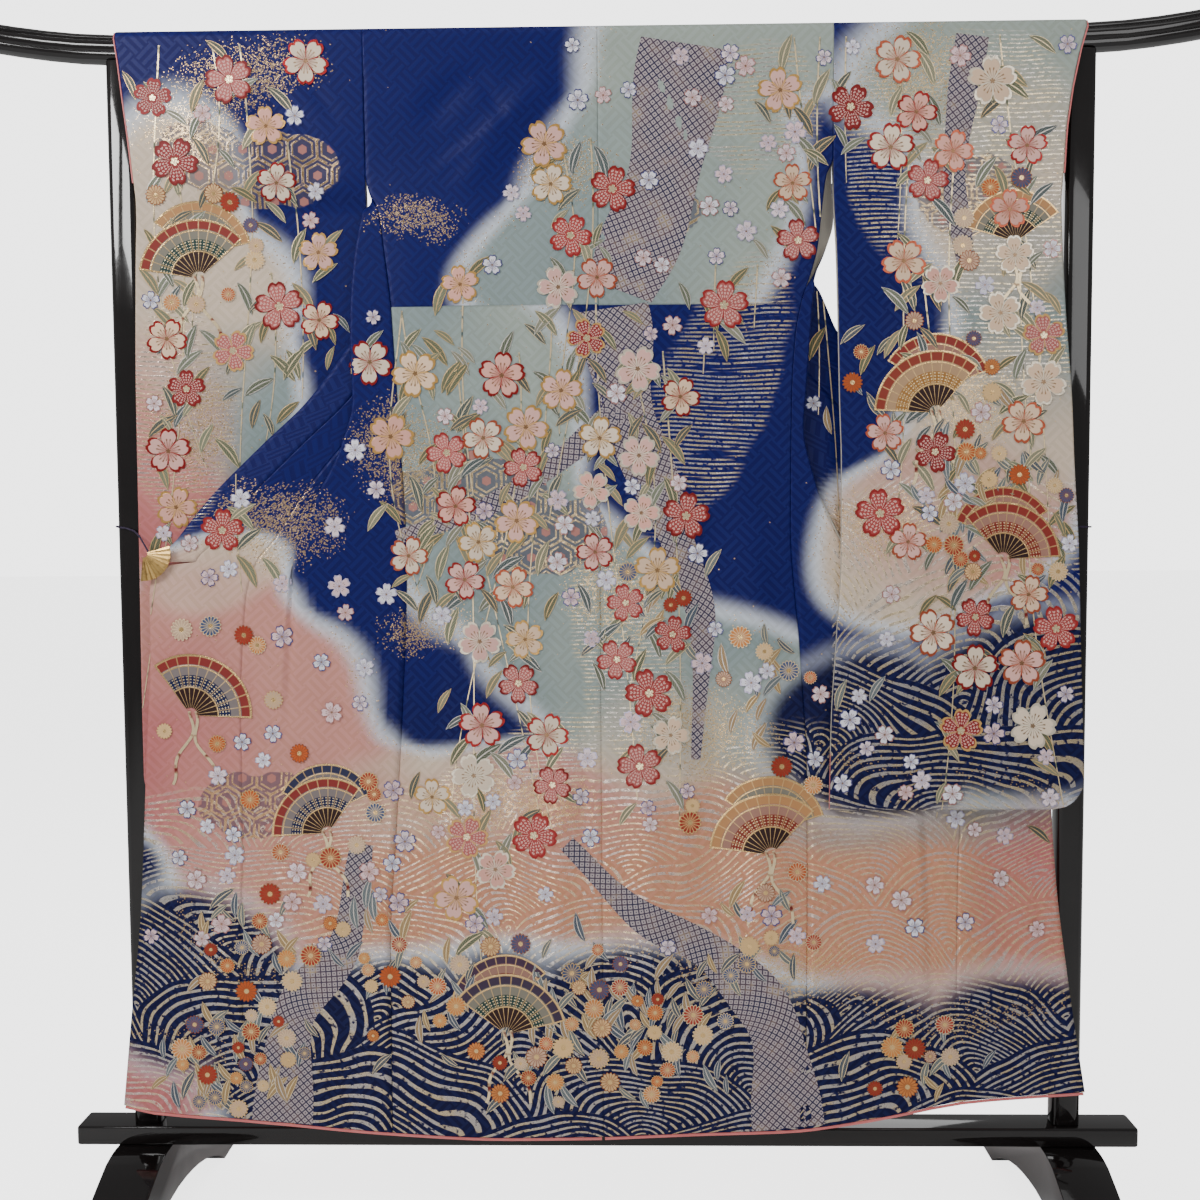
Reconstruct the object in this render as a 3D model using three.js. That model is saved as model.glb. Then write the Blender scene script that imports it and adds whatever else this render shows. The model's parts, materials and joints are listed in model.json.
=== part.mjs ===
// A furisode kimono that hangs back outward, its fronts tied open, on a lacquered kimono stand.
// Units are millimetres. +X is to the right of someone who looks at the kimono's back, +Y points
// away from them and +Z is up. The origin is on the floor, under the middle of the stand.
// A place on the cloth is given by its distance out from the centre back (a), its depth (y) and
// its height (z). side is -1 for the half at -X and 1 for the half at +X.

import * as THREE from "three";

// The cloth
const WALL = 2; // silk, padding and lining together
const SEAM = 0.3; // gap between pieces that are sewn together
const TOP = 1759; // top of the cloth, where it lies over the rail
const HEM = 172; // height of the hem at the centre back
const REAR_TOP = 1742; // where the back pieces end behind the rail
const RAIL_FACE = 20.5; // depth of the cloth's outside in front of the rail and behind it
const NECK = 85; // half of the neck opening
const COLLAR_WIDTH = 57;
const COLLAR_END = 1005;
const OVERLAP_TIP = 1500; // where the overlap begins as a point
const SIDE_SEAM_TOP = 1369;
const CUFF_END = 1529; // the cuff is open above this, and sewn below it
const SLEEVE_BOTTOM = 650;
const SLEEVE_ROUNDING = 45; // radius of the sleeve's outer lower corner
const HEM_ROLL = 2.2; // radius of the padded roll along the hem
const CUFF_ROLL = 1.2; // radius of the lining's edge along the cuff

// The fold of the front panels: radii of its outer face where the cloth turns back, and again
const TURN_OUT = 3.5;
const TURN_IN = 2;

// The stand
const RAIL = { middle: 1737.5, level: 690, tip: 950, rise: 36, bow: 1.6 };
const POST = { at: 680, width: 40, depth: 30, corner: 9 };
const PLANK = { half: 782, depth: 48, bottom: 142, height: 28, bevel: 2 };
const FOOT = { width: 80, reach: 262, sole: 57 };
const TOUCH = 0.3; // gap between the stand's pieces

const COLOURS = {
  silk: 0x2b3f9e,
  overlap: 0xd9b7ad,
  sleeve: 0x33489f,
  collar: 0x24378c,
  pink: 0xe58a93,
  lacquer: 0x0d0b0c,
  gilt: 0xc9a24a,
  cord: 0x2c1c3a,
};

// --- Tables of the hung cloth -----------------------------------------------------------------

// A table with a row for each height. Its result gives any column at any height, on a curve that
// goes through the rows and never swings past them.
function table(columns, rows) {
  const sorted = [...rows].sort((p, q) => p[0] - q[0]);
  const heights = sorted.map((row) => row[0]);
  const curves = {};
  columns.forEach((name, k) => {
    curves[name] = monotone(
      heights,
      sorted.map((row) => row[k + 1]),
    );
  });
  return (z) => Object.fromEntries(columns.map((name) => [name, curves[name](z)]));
}

function monotone(xs, ys) {
  const last = xs.length - 1;
  const rise = (i) => (ys[i + 1] - ys[i]) / (xs[i + 1] - xs[i]);
  const slopes = ys.map((_, i) => {
    if (i === 0) return rise(0);
    if (i === last) return rise(last - 1);
    const [before, after] = [rise(i - 1), rise(i)];
    return before * after <= 0 ? 0 : (2 * before * after) / (before + after);
  });
  return (x) => {
    if (x <= xs[0]) return ys[0];
    if (x >= xs[last]) return ys[last];
    let i = 0;
    while (x > xs[i + 1]) i += 1;
    const width = xs[i + 1] - xs[i];
    const t = (x - xs[i]) / width;
    const u = 1 - t;
    return (
      ys[i] * u * u * (1 + 2 * t) +
      ys[i + 1] * t * t * (3 - 2 * t) +
      slopes[i] * width * t * u * u -
      slopes[i + 1] * width * t * t * u
    );
  };
}

// Depth of the back at the centre seam
const backDepth = table(
  ["y"],
  [
    [HEM, -54],
    [600, -46],
    [1000, -38],
    [1369, -30],
    [1500, -25],
    [1650, -21],
    [1746, -RAIL_FACE],
  ],
);

// The back's side edge: its distance from the centre and its depth, for each half
const backEdge = {
  "-1": table(
    ["a", "y"],
    [
      [HEM, 307, -52],
      [461, 306, -48.5],
      [600, 297, -46],
      [808, 284, -42],
      [1005, 276, -38],
      [1164, 283, -34.5],
      [1320, 292, -31],
      [1369, 295, -29.5],
      [1442, 304, -27],
      [1500, 312, -23.5],
      [1515, 318, -20.5],
      [1530, 326, -18.5],
      [1559, 331, -17],
      [1650, 331, -20],
      [1746, 331, -RAIL_FACE],
    ],
  ),
  1: table(
    ["a", "y"],
    [
      [HEM, 292, -52],
      [529, 294, -47],
      [702, 293, -44],
      [877, 283, -40.5],
      [1053, 270, -37.5],
      [1235, 272, -33],
      [1320, 277, -31],
      [1369, 286, -29.5],
      [1411, 300, -28],
      [1442, 308, -27],
      [1500, 315, -24],
      [1544, 321, -21],
      [1570, 331, -20],
      [1650, 331, -20],
      [1746, 331, -RAIL_FACE],
    ],
  ),
};

// The front's own side edge above the side seam: free beside the sleeve's opening, then sewn to
// the sleeve
const frontEdge = {
  "-1": table(
    ["a", "y"],
    [
      [SIDE_SEAM_TOP, 295, -29.5],
      [1442, 304, -27],
      [1500, 312, -23.5],
      [1515, 318, -18.5],
      [1530, 325, -12],
      [1545, 330.5, -8],
      [1560, 331, -4],
      [1600, 331, 5],
      [1650, 331, 14],
      [1700, 331, 19.5],
      [REAR_TOP, 331, RAIL_FACE],
    ],
  ),
  1: table(
    ["a", "y"],
    [
      [SIDE_SEAM_TOP, 286, -29.5],
      [1388, 292, -28],
      [1407, 303, -21],
      [1446, 322, -10],
      [1485, 334, -2],
      [1515, 333, -1.5],
      [1530, 331, -2],
      [1560, 331, -3],
      [1600, 331, 5],
      [1650, 331, 14],
      [1700, 331, 19.5],
      [REAR_TOP, 331, RAIL_FACE],
    ],
  ),
};

const sideEdge = (side, z) => (z < SIDE_SEAM_TOP ? backEdge : frontEdge)[side](z);

// The front panel with its overlap and collar, beyond its side edge. fold is where the cloth
// turns back, under is how far it then runs back behind itself before it turns out again at
// depth inner, and front and outer place the front edge. lead and trail are the directions, in
// degrees, in which the cloth leaves the side edge and reaches the front edge: 0 is outward and
// 180 is towards the centre.
const FRONT_COLUMNS = ["fold", "under", "inner", "front", "outer", "lead", "trail"];
const frontRows = {
  "-1": table(FRONT_COLUMNS, [
    [HEM, 460, 0, -53, 697, -54, 0, 0],
    [314, 455, 0, -51, 684, -52, 0, 0],
    [490, 450, 0, -49, 666, -50, 0, 0],
    [752, 440, 0, -44, 652, -46, 0, 0],
    [867, 436, 1, -42, 645, -44, 0, 0],
    [953, 434, 4, -38, 644, -42, 0, 0],
    [1005, 438, 12, -31, 633, -40, 0, 0],
    [1031, 430, 22, -29, 610, -38, 0, 0],
    [1094, 405, 44, -26, 560, -34, 0, 0],
    [1170, 368, 77, -22, 485, -28, 0, 0],
    [1235, 351, 108, -18, 417, -24, 0, 0],
    [1320, 353, 136, -10, 353, -19, 0, 0],
    [1369, 352, 150, -5, 322, -8, 0, 0],
    [1442, 345, 172, 3, 276, 4, 0, 0],
    [1500, 334, 190, 9, 238, 16, 0, 0],
    [1515, 331, 196, 11, 230, 20, 60, 8],
    [1530, 331, 204, 12, 221, 26, 120, 20],
    [1543, 331, 209, 13, 213, 31, 180, 32],
    [1559, 331, 215, 15, 203, 36, 180, 45],
    [1600, 331, 228, 18, 176, 44, 180, 90],
    [1650, 331, 238, 20, 150, 36, 180, 140],
    [1700, 331, 243, RAIL_FACE, 144, 24, 180, 170],
    [REAR_TOP, 331, 246, RAIL_FACE, 142, RAIL_FACE, 180, 180],
  ]),
  1: table(FRONT_COLUMNS, [
    [HEM, 455, 0, -52, 692, -50, 0, 0],
    [371, 450, 0, -46, 668, -39, 0, 0],
    [515, 445, 0, -42, 654, -29, 0, 0],
    [636, 440, 0, -38, 648, -21, 0, 0],
    [800, 420, 0, -33, 644, -12, 0, 0],
    [950, 380, 2, -29, 640, -7, 0, 0],
    [1045, 330, 6, -29, 636, -5, 0, 0],
    [1117, 304, 37, -22, 561, -4, 0, 0],
    [1193, 288, 72, -14, 484, -3.5, 0, 0],
    [1235, 291, 90, -10, 440, -3, 0, 0],
    [1330, 298, 135, 0, 341, -2, 0, 0],
    [1369, 301, 144, 3, 324, 0, 0, 0],
    [1390, 304, 150, 4, 315, 3, 0, 0],
    [1407, 305, 158, 5, 304, 6, 60, 0],
    [1445, 322, 176, 7, 286, 8, 150, 0],
    [1480, 335, 188, 8, 266, 12, 180, 0],
    [1500, 335, 194, 9, 255, 16, 180, 0],
    [1530, 333, 199, 12, 238, 26, 180, 20],
    [1559, 331, 213, 15, 207, 36, 180, 45],
    [1600, 331, 228, 18, 176, 44, 180, 90],
    [1650, 331, 238, 20, 150, 36, 180, 140],
    [1700, 331, 243, RAIL_FACE, 144, 24, 180, 170],
    [REAR_TOP, 331, 246, RAIL_FACE, 142, RAIL_FACE, 180, 180],
  ]),
};

// Width of the body's front strip from its side edge to the overlap's seam
const stripWidth = table(
  ["width"],
  [
    [HEM, 214],
    [519, 216],
    [679, 225],
    [895, 236],
    [1300, 243],
    [OVERLAP_TIP, 246],
    [REAR_TOP, 246],
  ],
);

// The sleeves: inner and outer edge, and the depth of the back layer and of the front layer at
// each of those edges. The two layers meet along the outer edge below the cuff.
const SLEEVE_COLUMNS = ["inner", "outer", "backIn", "backOut", "frontIn", "frontOut"];
const sleeveRows = {
  "-1": table(SLEEVE_COLUMNS, [
    [SLEEVE_BOTTOM, 336, 667, -12, -24, -2, -16.6],
    [746, 335, 667, -12, -24, -1, -16.6],
    [1067, 333, 665, -9, -23.5, 2, -16.6],
    [1239, 333, 664, -8, -23.5, 3, -16.8],
    [1400, 332, 660, -7, -23.5, 5, -16.8],
    [1450, 332, 658.5, -6, -23, 4, -14.5],
    [1500, 332, 657, -6, -22, 3, -9],
    [1515, 331.5, 657, -8, -22, 2, -3],
    [CUFF_END, 331.3, 658, -12, -22, 0, 6],
    [1559, 331, 661, -16, -21.5, -5, 19],
    [1600, 331, 665, -18.5, -21, 5, 20],
    [1650, 331, 671, -20, -RAIL_FACE, 14, RAIL_FACE],
    [1700, 331, 676, -RAIL_FACE, -RAIL_FACE, 19.5, RAIL_FACE],
    [1746, 331, 682, -RAIL_FACE, -RAIL_FACE, RAIL_FACE, RAIL_FACE],
  ]),
  1: table(SLEEVE_COLUMNS, [
    [SLEEVE_BOTTOM, 323, 683, -60, -56, -50, -47],
    [778, 326, 680, -56, -52, -46.5, -42],
    [891, 333, 677, -53, -47, -43, -37],
    [1004, 340, 675, -49, -42, -39, -33],
    [1145, 341, 668, -42, -36, -32, -27],
    [1226, 339, 665, -38, -33, -27, -24],
    [1366, 337, 655, -31, -28, -19, -19],
    [1450, 335, 651, -27, -25, -13, -15],
    [1505, 332, 649.5, -23, -23, -9, -10],
    [CUFF_END, 331.3, 651, -21, -22.5, -8, 4],
    [1559, 331, 653, -20, -22, -5, 19],
    [1600, 331, 655, -20, -21.5, 5, 20],
    [1650, 331, 661, -20, -21, 14, RAIL_FACE],
    [1700, 331, 670, -RAIL_FACE, -RAIL_FACE, 19.5, RAIL_FACE],
    [1746, 331, 682, -RAIL_FACE, -RAIL_FACE, RAIL_FACE, RAIL_FACE],
  ]),
};

// How far the hem is above HEM at a distance from the centre
const hemLift = {
  "-1": monotone([0, 150, 295, 513, 674, 697], [0, -2, 4, 24, 39, 46]),
  1: monotone([0, 139, 269, 384, 527, 692], [0, 6, 10, 26, 54, 66]),
};

// Main creases: a soft ridge, or a trough where raise is negative, along the line from x0, z0 to
// x1, z1, of a half-width and a height towards the viewer.
const CREASE_COLUMNS = ["x0", "z0", "x1", "z1", "width", "raise"];
const creases = (rows) =>
  rows.map((row) => Object.fromEntries(CREASE_COLUMNS.map((name, k) => [name, row[k]])));
const BACK_CREASES = creases([
  [-222, 1240, -226, 420, 34, 5],
  [-128, 1150, -134, 300, 30, -4],
  [-64, 800, -72, 190, 26, 3],
  [62, 900, 78, 190, 30, 3],
  [150, 1300, 166, 330, 36, -5],
  [212, 1230, 240, 240, 30, 4],
  [-214, 1515, -56, 1712, 24, 4],
  [-262, 1610, -140, 1735, 20, -3],
  [190, 1500, 90, 1700, 26, 3],
]);
const SLEEVE_CREASES = creases([
  [-505, 1690, -350, 1520, 22, -4],
  [-408, 1560, -345, 1515, 16, 3],
  [-560, 1500, -600, 900, 40, 3],
  [-450, 1400, -470, 800, 36, -3],
  [430, 1545, 570, 1705, 24, 4],
  [500, 1500, 640, 1650, 22, -3],
  [355, 1240, 405, 1238, 9, 3],
  [430, 1150, 440, 720, 36, 3],
  [570, 1300, 560, 760, 40, -3],
]);
const FRONT_CREASES = creases([
  [-600, 960, -548, 740, 24, 4],
  [-560, 975, -450, 760, 22, -3],
  [-620, 900, -628, 520, 22, -3],
  [-400, 800, -410, 300, 30, 4],
  [-570, 620, -590, 240, 30, 4],
  [400, 760, 420, 300, 32, 4],
  [560, 640, 580, 270, 30, -4],
]);

// --- Small helpers ----------------------------------------------------------------------------

const mix = (p, q, t) => p + (q - p) * t;
const clamp = (t) => Math.min(1, Math.max(0, t));
const smooth = (t) => clamp(t) ** 2 * (3 - 2 * clamp(t));
const radians = (degrees) => (degrees * Math.PI) / 180;
const steps = (count) => Array.from({ length: count + 1 }, (_, k) => k / count);

// Heights from pairs of a height and the number of steps to the next one
function levels(...stops) {
  const heights = [];
  stops.slice(0, -1).forEach(([z, count], k) => {
    const next = stops[k + 1][0];
    for (let j = 0; j < count; j += 1) heights.push(mix(z, next, j / count));
  });
  heights.push(stops.at(-1)[0]);
  return heights;
}

function creaseHeight(list, x, z) {
  let sum = 0;
  for (const { x0, z0, x1, z1, width, raise } of list) {
    const length = Math.hypot(x1 - x0, z1 - z0);
    const along = ((x - x0) * (x1 - x0) + (z - z0) * (z1 - z0)) / length ** 2;
    const aside = ((x - x0) * (z1 - z0) - (z - z0) * (x1 - x0)) / length;
    const fade = smooth(along * 3) * smooth((1 - along) * 3);
    sum += raise * fade * Math.exp(-((aside / width) ** 2));
  }
  return sum;
}

// Towards the hem, heights follow the hem's own curve.
function lifted(side, a, z) {
  const near = clamp((TOP - z) / (TOP - HEM)) ** 4;
  return z + hemLift[side](a) * near;
}

// --- Closed solids ----------------------------------------------------------------------------

// A geometry from points and polygons whose corners run anticlockwise seen from outside
function solid(points, faces) {
  const triangles = [];
  for (const face of faces) {
    for (let k = 1; k < face.length - 1; k += 1) triangles.push(face[0], face[k], face[k + 1]);
  }
  const geometry = new THREE.BufferGeometry();
  geometry.setAttribute("position", new THREE.Float32BufferAttribute(points.flat(), 3));
  geometry.setIndex(triangles);
  geometry.computeVertexNormals();
  return geometry;
}

// A wall of cloth: its outer faces, the same faces pushed in by the wall's thickness, and rims
// along every open edge. A point may bring its own normal, so that sewn pieces agree along their
// seam.
function wall(points, quads, thickness = WALL) {
  const outer = points.map((p) => new THREE.Vector3(p[0], p[1], p[2]));
  const normals = outer.map(() => new THREE.Vector3());
  for (const quad of quads) {
    const [p, q, r, s] = quad.map((k) => outer[k]);
    const normal = r.clone().sub(p).cross(s.clone().sub(q)).normalize();
    quad.forEach((k) => normals[k].add(normal));
  }
  points.forEach((p, k) => p[3] && normals[k].copy(p[3]));
  const inner = outer.map((p, k) => p.clone().addScaledVector(normals[k].normalize(), -thickness));
  const count = outer.length;
  const faces = [...quads, ...quads.map((quad) => [...quad].reverse().map((k) => k + count))];
  const edges = new Set();
  quads.forEach((quad) => quad.forEach((k, j) => edges.add(`${k},${quad[(j + 1) % 4]}`)));
  for (const edge of edges) {
    const [k, next] = edge.split(",").map(Number);
    if (edges.has(`${next},${k}`)) continue;
    // A rim is split from its upper outer corner, so that sewn rims twist alike.
    const rim = [next, k, k + count, next + count];
    if (outer[k].z > outer[next].z) rim.push(rim.shift());
    faces.push(rim);
  }
  return solid(
    [...outer, ...inner].map((p) => p.toArray()),
    faces,
  );
}

// A wall over a grid of points, rows[j][i], seen from outside with i to the right and j downward;
// mirrored swaps left and right.
function sheet(rows, mirrored = false, thickness = WALL) {
  const across = rows[0].length;
  const quads = [];
  for (let j = 0; j + 1 < rows.length; j += 1) {
    for (let i = 0; i + 1 < across; i += 1) {
      const k = j * across + i;
      const quad = [k, k + across, k + across + 1, k + 1];
      quads.push(mirrored ? quad.reverse() : quad);
    }
  }
  return wall(rows.flat(), quads, thickness);
}

// A solid through closed sections of equal counts of points, with flat ends
function loft(sections) {
  const around = sections[0].length;
  const faces = [sections[0].map((_, k) => k)];
  for (let j = 0; j + 1 < sections.length; j += 1) {
    for (let k = 0; k < around; k += 1) {
      const next = (k + 1) % around;
      faces.push([
        j * around + next,
        j * around + k,
        (j + 1) * around + k,
        (j + 1) * around + next,
      ]);
    }
  }
  const end = (sections.length - 1) * around;
  faces.push(sections[0].map((_, k) => end + around - 1 - k));
  return outward(solid(sections.flat(), faces));
}

// Turns a solid's faces round if they point inward.
function outward(geometry) {
  const at = geometry.getAttribute("position");
  const index = geometry.getIndex().array;
  const corner = (k) => new THREE.Vector3().fromBufferAttribute(at, index[k]);
  let volume = 0;
  for (let k = 0; k < index.length; k += 3) {
    volume += corner(k).dot(corner(k + 1).cross(corner(k + 2)));
  }
  if (volume < 0) geometry.setIndex(Array.from(index).reverse());
  geometry.computeVertexNormals();
  return geometry;
}

// A round roll or cord along a line of points
function roll(line, radius, sides = 6) {
  const path = line.map((p) => new THREE.Vector3(...p));
  const sections = path.map((p, k) => {
    const ahead = path[Math.min(k + 1, path.length - 1)];
    const tangent = ahead.clone().sub(path[Math.max(k - 1, 0)]).normalize();
    const reference = Math.abs(tangent.y) > 0.8 ? [1, 0, 0] : [0, 1, 0];
    const across = new THREE.Vector3(...reference).cross(tangent).normalize();
    const up = tangent.clone().cross(across);
    return steps(sides)
      .slice(0, sides)
      .map((t) => {
        const angle = t * 2 * Math.PI;
        return p
          .clone()
          .addScaledVector(across, radius * Math.cos(angle))
          .addScaledVector(up, radius * Math.sin(angle))
          .toArray();
      });
  });
  return loft(sections);
}

// --- How the front panels hang ----------------------------------------------------------------

// At one height the front panel, its overlap and its collar are one strip of cloth. It leaves the
// side edge, turns back at the fold, runs behind itself, turns out again and goes to the front
// edge. The result gives the strip's width, where its two turns are, and the point at any
// distance along it.
function frontStrip(side, z) {
  const row = frontRows[side](z);
  const edge = sideEdge(side, z);
  const lead = radians(row.lead);
  const trail = radians(row.trail);
  const half = (Math.PI / 2) * TURN_OUT;
  const back = Math.max(row.under, 4 * half);
  const open = row.under < back ? Math.acos(1 - (2 * row.under) / back) : Math.PI;
  const foldAt = Math.max(row.fold - edge.a + 2, half + 2.5);
  const innerAt = foldAt + back;
  const width = row.front - edge.a + 2 * row.under;
  const start = edge.a + SEAM / 2 + WALL * Math.sin(lead);
  const direction = (s) => {
    const out = smooth((s - foldAt + half) / (2 * half));
    const again = smooth((s - innerAt + TURN_IN * 1.6) / (TURN_IN * 3.2));
    return mix(mix(lead, Math.max(open, lead), out), trail, again);
  };
  const pace = 0.5;
  const line = [[start, edge.y]];
  for (let s = pace / 2; s < width + pace; s += pace) {
    const [a, y] = line.at(-1);
    const turn = direction(s);
    line.push([a + pace * Math.cos(turn), y + pace * Math.sin(turn)]);
  }
  const along = (s) => {
    const k = Math.min(Math.floor(s / pace), line.length - 2);
    const t = s / pace - k;
    return [0, 1].map((c) => mix(line[k][c], line[k + 1][c], t));
  };
  const innerDrift = row.inner - along(innerAt)[1];
  const frontDrift = row.outer - along(width)[1] - innerDrift;
  const point = (s) => {
    const [a, y] = along(s);
    const behind = smooth((s - foldAt - half) / (innerAt - foldAt - half));
    const beyond = smooth((s - innerAt) / (width - innerAt));
    const x = side * a;
    const free = smooth((s - innerAt) / 60) * smooth((1480 - z) / 200);
    const depth = y + innerDrift * behind + frontDrift * beyond;
    return [x, depth - free * creaseHeight(FRONT_CREASES, x, z), lifted(side, a, z)];
  };
  return { width, foldAt, innerAt, half, point };
}

// The cloth's outward normal at a distance along the strip
function stripNormal(side, z, s) {
  const [far, near] = [1, -1].map((k) => new THREE.Vector3(...frontStrip(side, z).point(s + k)));
  const [high, low] = [1, -1].map((k) => new THREE.Vector3(...frontStrip(side, z + k).point(s)));
  return far.sub(near).cross(high.sub(low)).multiplyScalar(side).normalize();
}

// Distances along the strip for the front panel's columns, close together at the two turns
function frontColumns(strip, end) {
  const { foldAt, innerAt, half } = strip;
  const outTurn = Math.min(Math.max(half, foldAt / 8), (innerAt - foldAt) / 2 - 1, foldAt - 1);
  const inTurn = Math.max(TURN_IN * 1.6, (end - innerAt) / 8);
  return levels(
    [0, 2],
    [foldAt - outTurn, 4],
    [foldAt + outTurn, 3],
    [Math.min(innerAt - inTurn, end - 9), 4],
    [Math.min(innerAt + inTurn, end - 3), 2],
    [end],
  );
}

// --- The garment's pieces ---------------------------------------------------------------------

// The line in depth and height that the cloth follows over the rail, from behind it to the front
const OVER_RAIL = [
  [RAIL_FACE, REAR_TOP],
  [RAIL_FACE, 1746],
  [17.5, 1754.5],
  [9, 1758.6],
  [0, TOP],
  [-9, 1758.6],
  [-17.5, 1754.5],
  [-RAIL_FACE, 1746],
];
// Heights shared by the pieces that are sewn together along the body
const BODY_LEVELS = levels(
  [1715, 2],
  [1660, 4],
  [1560, 5],
  [1485, 3],
  [SIDE_SEAM_TOP, 3],
  [1180, 3],
  [COLLAR_END, 7],
  [HEM],
);

function backPiece(side) {
  const across = steps(8);
  const rows = OVER_RAIL.map(([y, z]) =>
    across.map((u) => [side * mix(SEAM / 2, backEdge[side](1746).a - SEAM / 2, u), y, z]),
  );
  for (const z of BODY_LEVELS) {
    const edge = backEdge[side](z);
    const centre = backDepth(z).y;
    rows.push(
      across.map((u) => {
        const a = mix(SEAM / 2, edge.a - SEAM / 2, u);
        const x = side * a;
        const free = smooth((1 - u) * 6) * smooth((1720 - z) / 60);
        const y = mix(centre, edge.y, u * u) - free * creaseHeight(BACK_CREASES, x, z);
        return [x, y, lifted(side, a, z)];
      }),
    );
  }
  return sheet(rows, side < 0);
}

function frontPiece(side) {
  const rows = [REAR_TOP - SEAM, ...BODY_LEVELS].map((z) => {
    const strip = frontStrip(side, z);
    const end = stripWidth(z).width - SEAM / 2;
    const points = frontColumns(strip, end).map((s) => strip.point(s));
    points.at(-1).push(stripNormal(side, z, end));
    return points;
  });
  return sheet(rows, side < 0);
}

function overlapPiece(side) {
  const upper = BODY_LEVELS.filter((z) => z <= OVERLAP_TIP && z >= COLLAR_END);
  const lower = BODY_LEVELS.filter((z) => z < COLLAR_END);
  const row = (z, beside) => {
    const strip = frontStrip(side, z);
    const [from, to] = [stripWidth(z).width + SEAM / 2, strip.width - beside];
    const points = steps(4).map((u) => strip.point(mix(from, to, u)));
    points[0].push(stripNormal(side, z, from));
    if (beside) points.at(-1).push(stripNormal(side, z, to));
    return points;
  };
  const rows = upper.map((z) => row(z, COLLAR_WIDTH + SEAM / 2));
  rows.push(...[COLLAR_END - 1, ...lower].map((z) => row(z, 0)));
  return sheet(rows, side < 0);
}

// One band from the end at -X, up that front, across the neck behind the rail and down the other
// front. Each station has a point on the seam and one on the free edge.
function collarPiece() {
  const descent = BODY_LEVELS.filter((z) => z >= COLLAR_END);
  const drop = (z) => 54 * smooth((z - 1485) / 230);
  const station = (side) => (z) => {
    const [strip, lower] = [frontStrip(side, z), frontStrip(side, z - drop(z))];
    const sewn = Math.max(strip.width - COLLAR_WIDTH, stripWidth(z).width) + SEAM / 2;
    const seam = [...strip.point(sewn), stripNormal(side, z, sewn)];
    const tip = z > COLLAR_END ? z : z + SEAM;
    return [seam, lower.point(lower.width)].map((p) => [p[0], p[1], p[2] + tip - z, p[3]]);
  };
  const left = descent.map(station(-1)).reverse();
  const right = descent.map(station(1));
  const [leftEnd, rightEnd] = [left.at(-1)[1], right[0][1]];
  const neck = [-0.8, -0.45, 0, 0.45, 0.8].map((t) => [
    [t * NECK, RAIL_FACE, REAR_TOP - SEAM - 20 * Math.abs(t) ** 6],
    [mix(leftEnd[0], rightEnd[0], (t + 1) / 2), RAIL_FACE + 2, leftEnd[2] + 2],
  ]);
  const rows = [...left, ...neck, ...right].map(([seam, edge]) =>
    [0, 0.5, 1].map((t) => {
      const point = [0, 1, 2].map((c) => mix(seam[c], edge[c], t));
      return t ? point : [...point, seam[3]];
    }),
  );
  return sheet(rows, false);
}

const SLEEVE_LEVELS = levels(
  [1715, 2],
  [1610, 2],
  [1560, 2],
  [CUFF_END, 3],
  [1485, 3],
  [1226, 4],
  [760, 1],
  [SLEEVE_BOTTOM + SLEEVE_ROUNDING, 3],
  [SLEEVE_BOTTOM],
);

// The sleeve's outer edge, with its rounded lower corner
function sleeveEdge(side, z) {
  const { outer } = sleeveRows[side](z);
  const low = Math.max(SLEEVE_BOTTOM + SLEEVE_ROUNDING - z, 0);
  return outer - SLEEVE_ROUNDING + Math.sqrt(SLEEVE_ROUNDING ** 2 - low ** 2);
}

// A point on one layer of a sleeve, from u = 0 at the armhole to u = 1 at the cuff
function sleevePoint(side, layer, u, z) {
  const row = sleeveRows[side](z);
  const a = mix(row.inner + SEAM / 2, sleeveEdge(side, z), u);
  const x = side * a;
  const [near, far] = layer === "back" ? [row.backIn, row.backOut] : [row.frontIn, row.frontOut];
  const towardCuff = side < 0 ? u * u : u;
  const free = smooth(u * 5) * smooth((1 - u) * 5) * smooth((1720 - z) / 60);
  const shared = free * creaseHeight(SLEEVE_CREASES, x, z);
  return [x, mix(near, far, towardCuff) - shared, z];
}

// One strip of cloth that goes up the back layer, over the rail and down the front layer, closed
// along the bottom, with the two layers closed together along the outer edge below the cuff
function sleevePiece(side) {
  const columns = steps(7);
  const edgeTop = sleeveEdge(side, 1746);
  const innerTop = sleeveRows[side](1746).inner + SEAM / 2;
  const ring = [
    ...SLEEVE_LEVELS.map((z) => columns.map((u) => sleevePoint(side, "back", u, z))).reverse(),
    ...[...OVER_RAIL.slice(1)]
      .reverse()
      .map(([y, z]) => columns.map((u) => [side * mix(innerTop, edgeTop, u), y, z])),
    ...SLEEVE_LEVELS.map((z) => columns.map((u) => sleevePoint(side, "front", u, z))),
  ];
  const across = columns.length;
  const quads = [];
  ring.forEach((_, j) => {
    const next = (j + 1) % ring.length;
    for (let i = 0; i + 1 < across; i += 1) {
      quads.push([j * across + i, j * across + i + 1, next * across + i + 1, next * across + i]);
    }
  });
  const count = SLEEVE_LEVELS.length;
  const cuff = SLEEVE_LEVELS.findIndex((z) => z <= CUFF_END);
  const end = across - 1;
  for (let k = cuff; k + 1 < count; k += 1) {
    const [upper, lower] = [count - 1 - k, count - 2 - k];
    const [frontUpper, frontLower] = [ring.length - count + k, ring.length - count + k + 1];
    quads.push([upper, lower, frontLower, frontUpper].map((j) => j * across + end));
  }
  if (side < 0) quads.forEach((quad) => quad.reverse());
  return wall(ring.flat(), quads);
}

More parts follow.
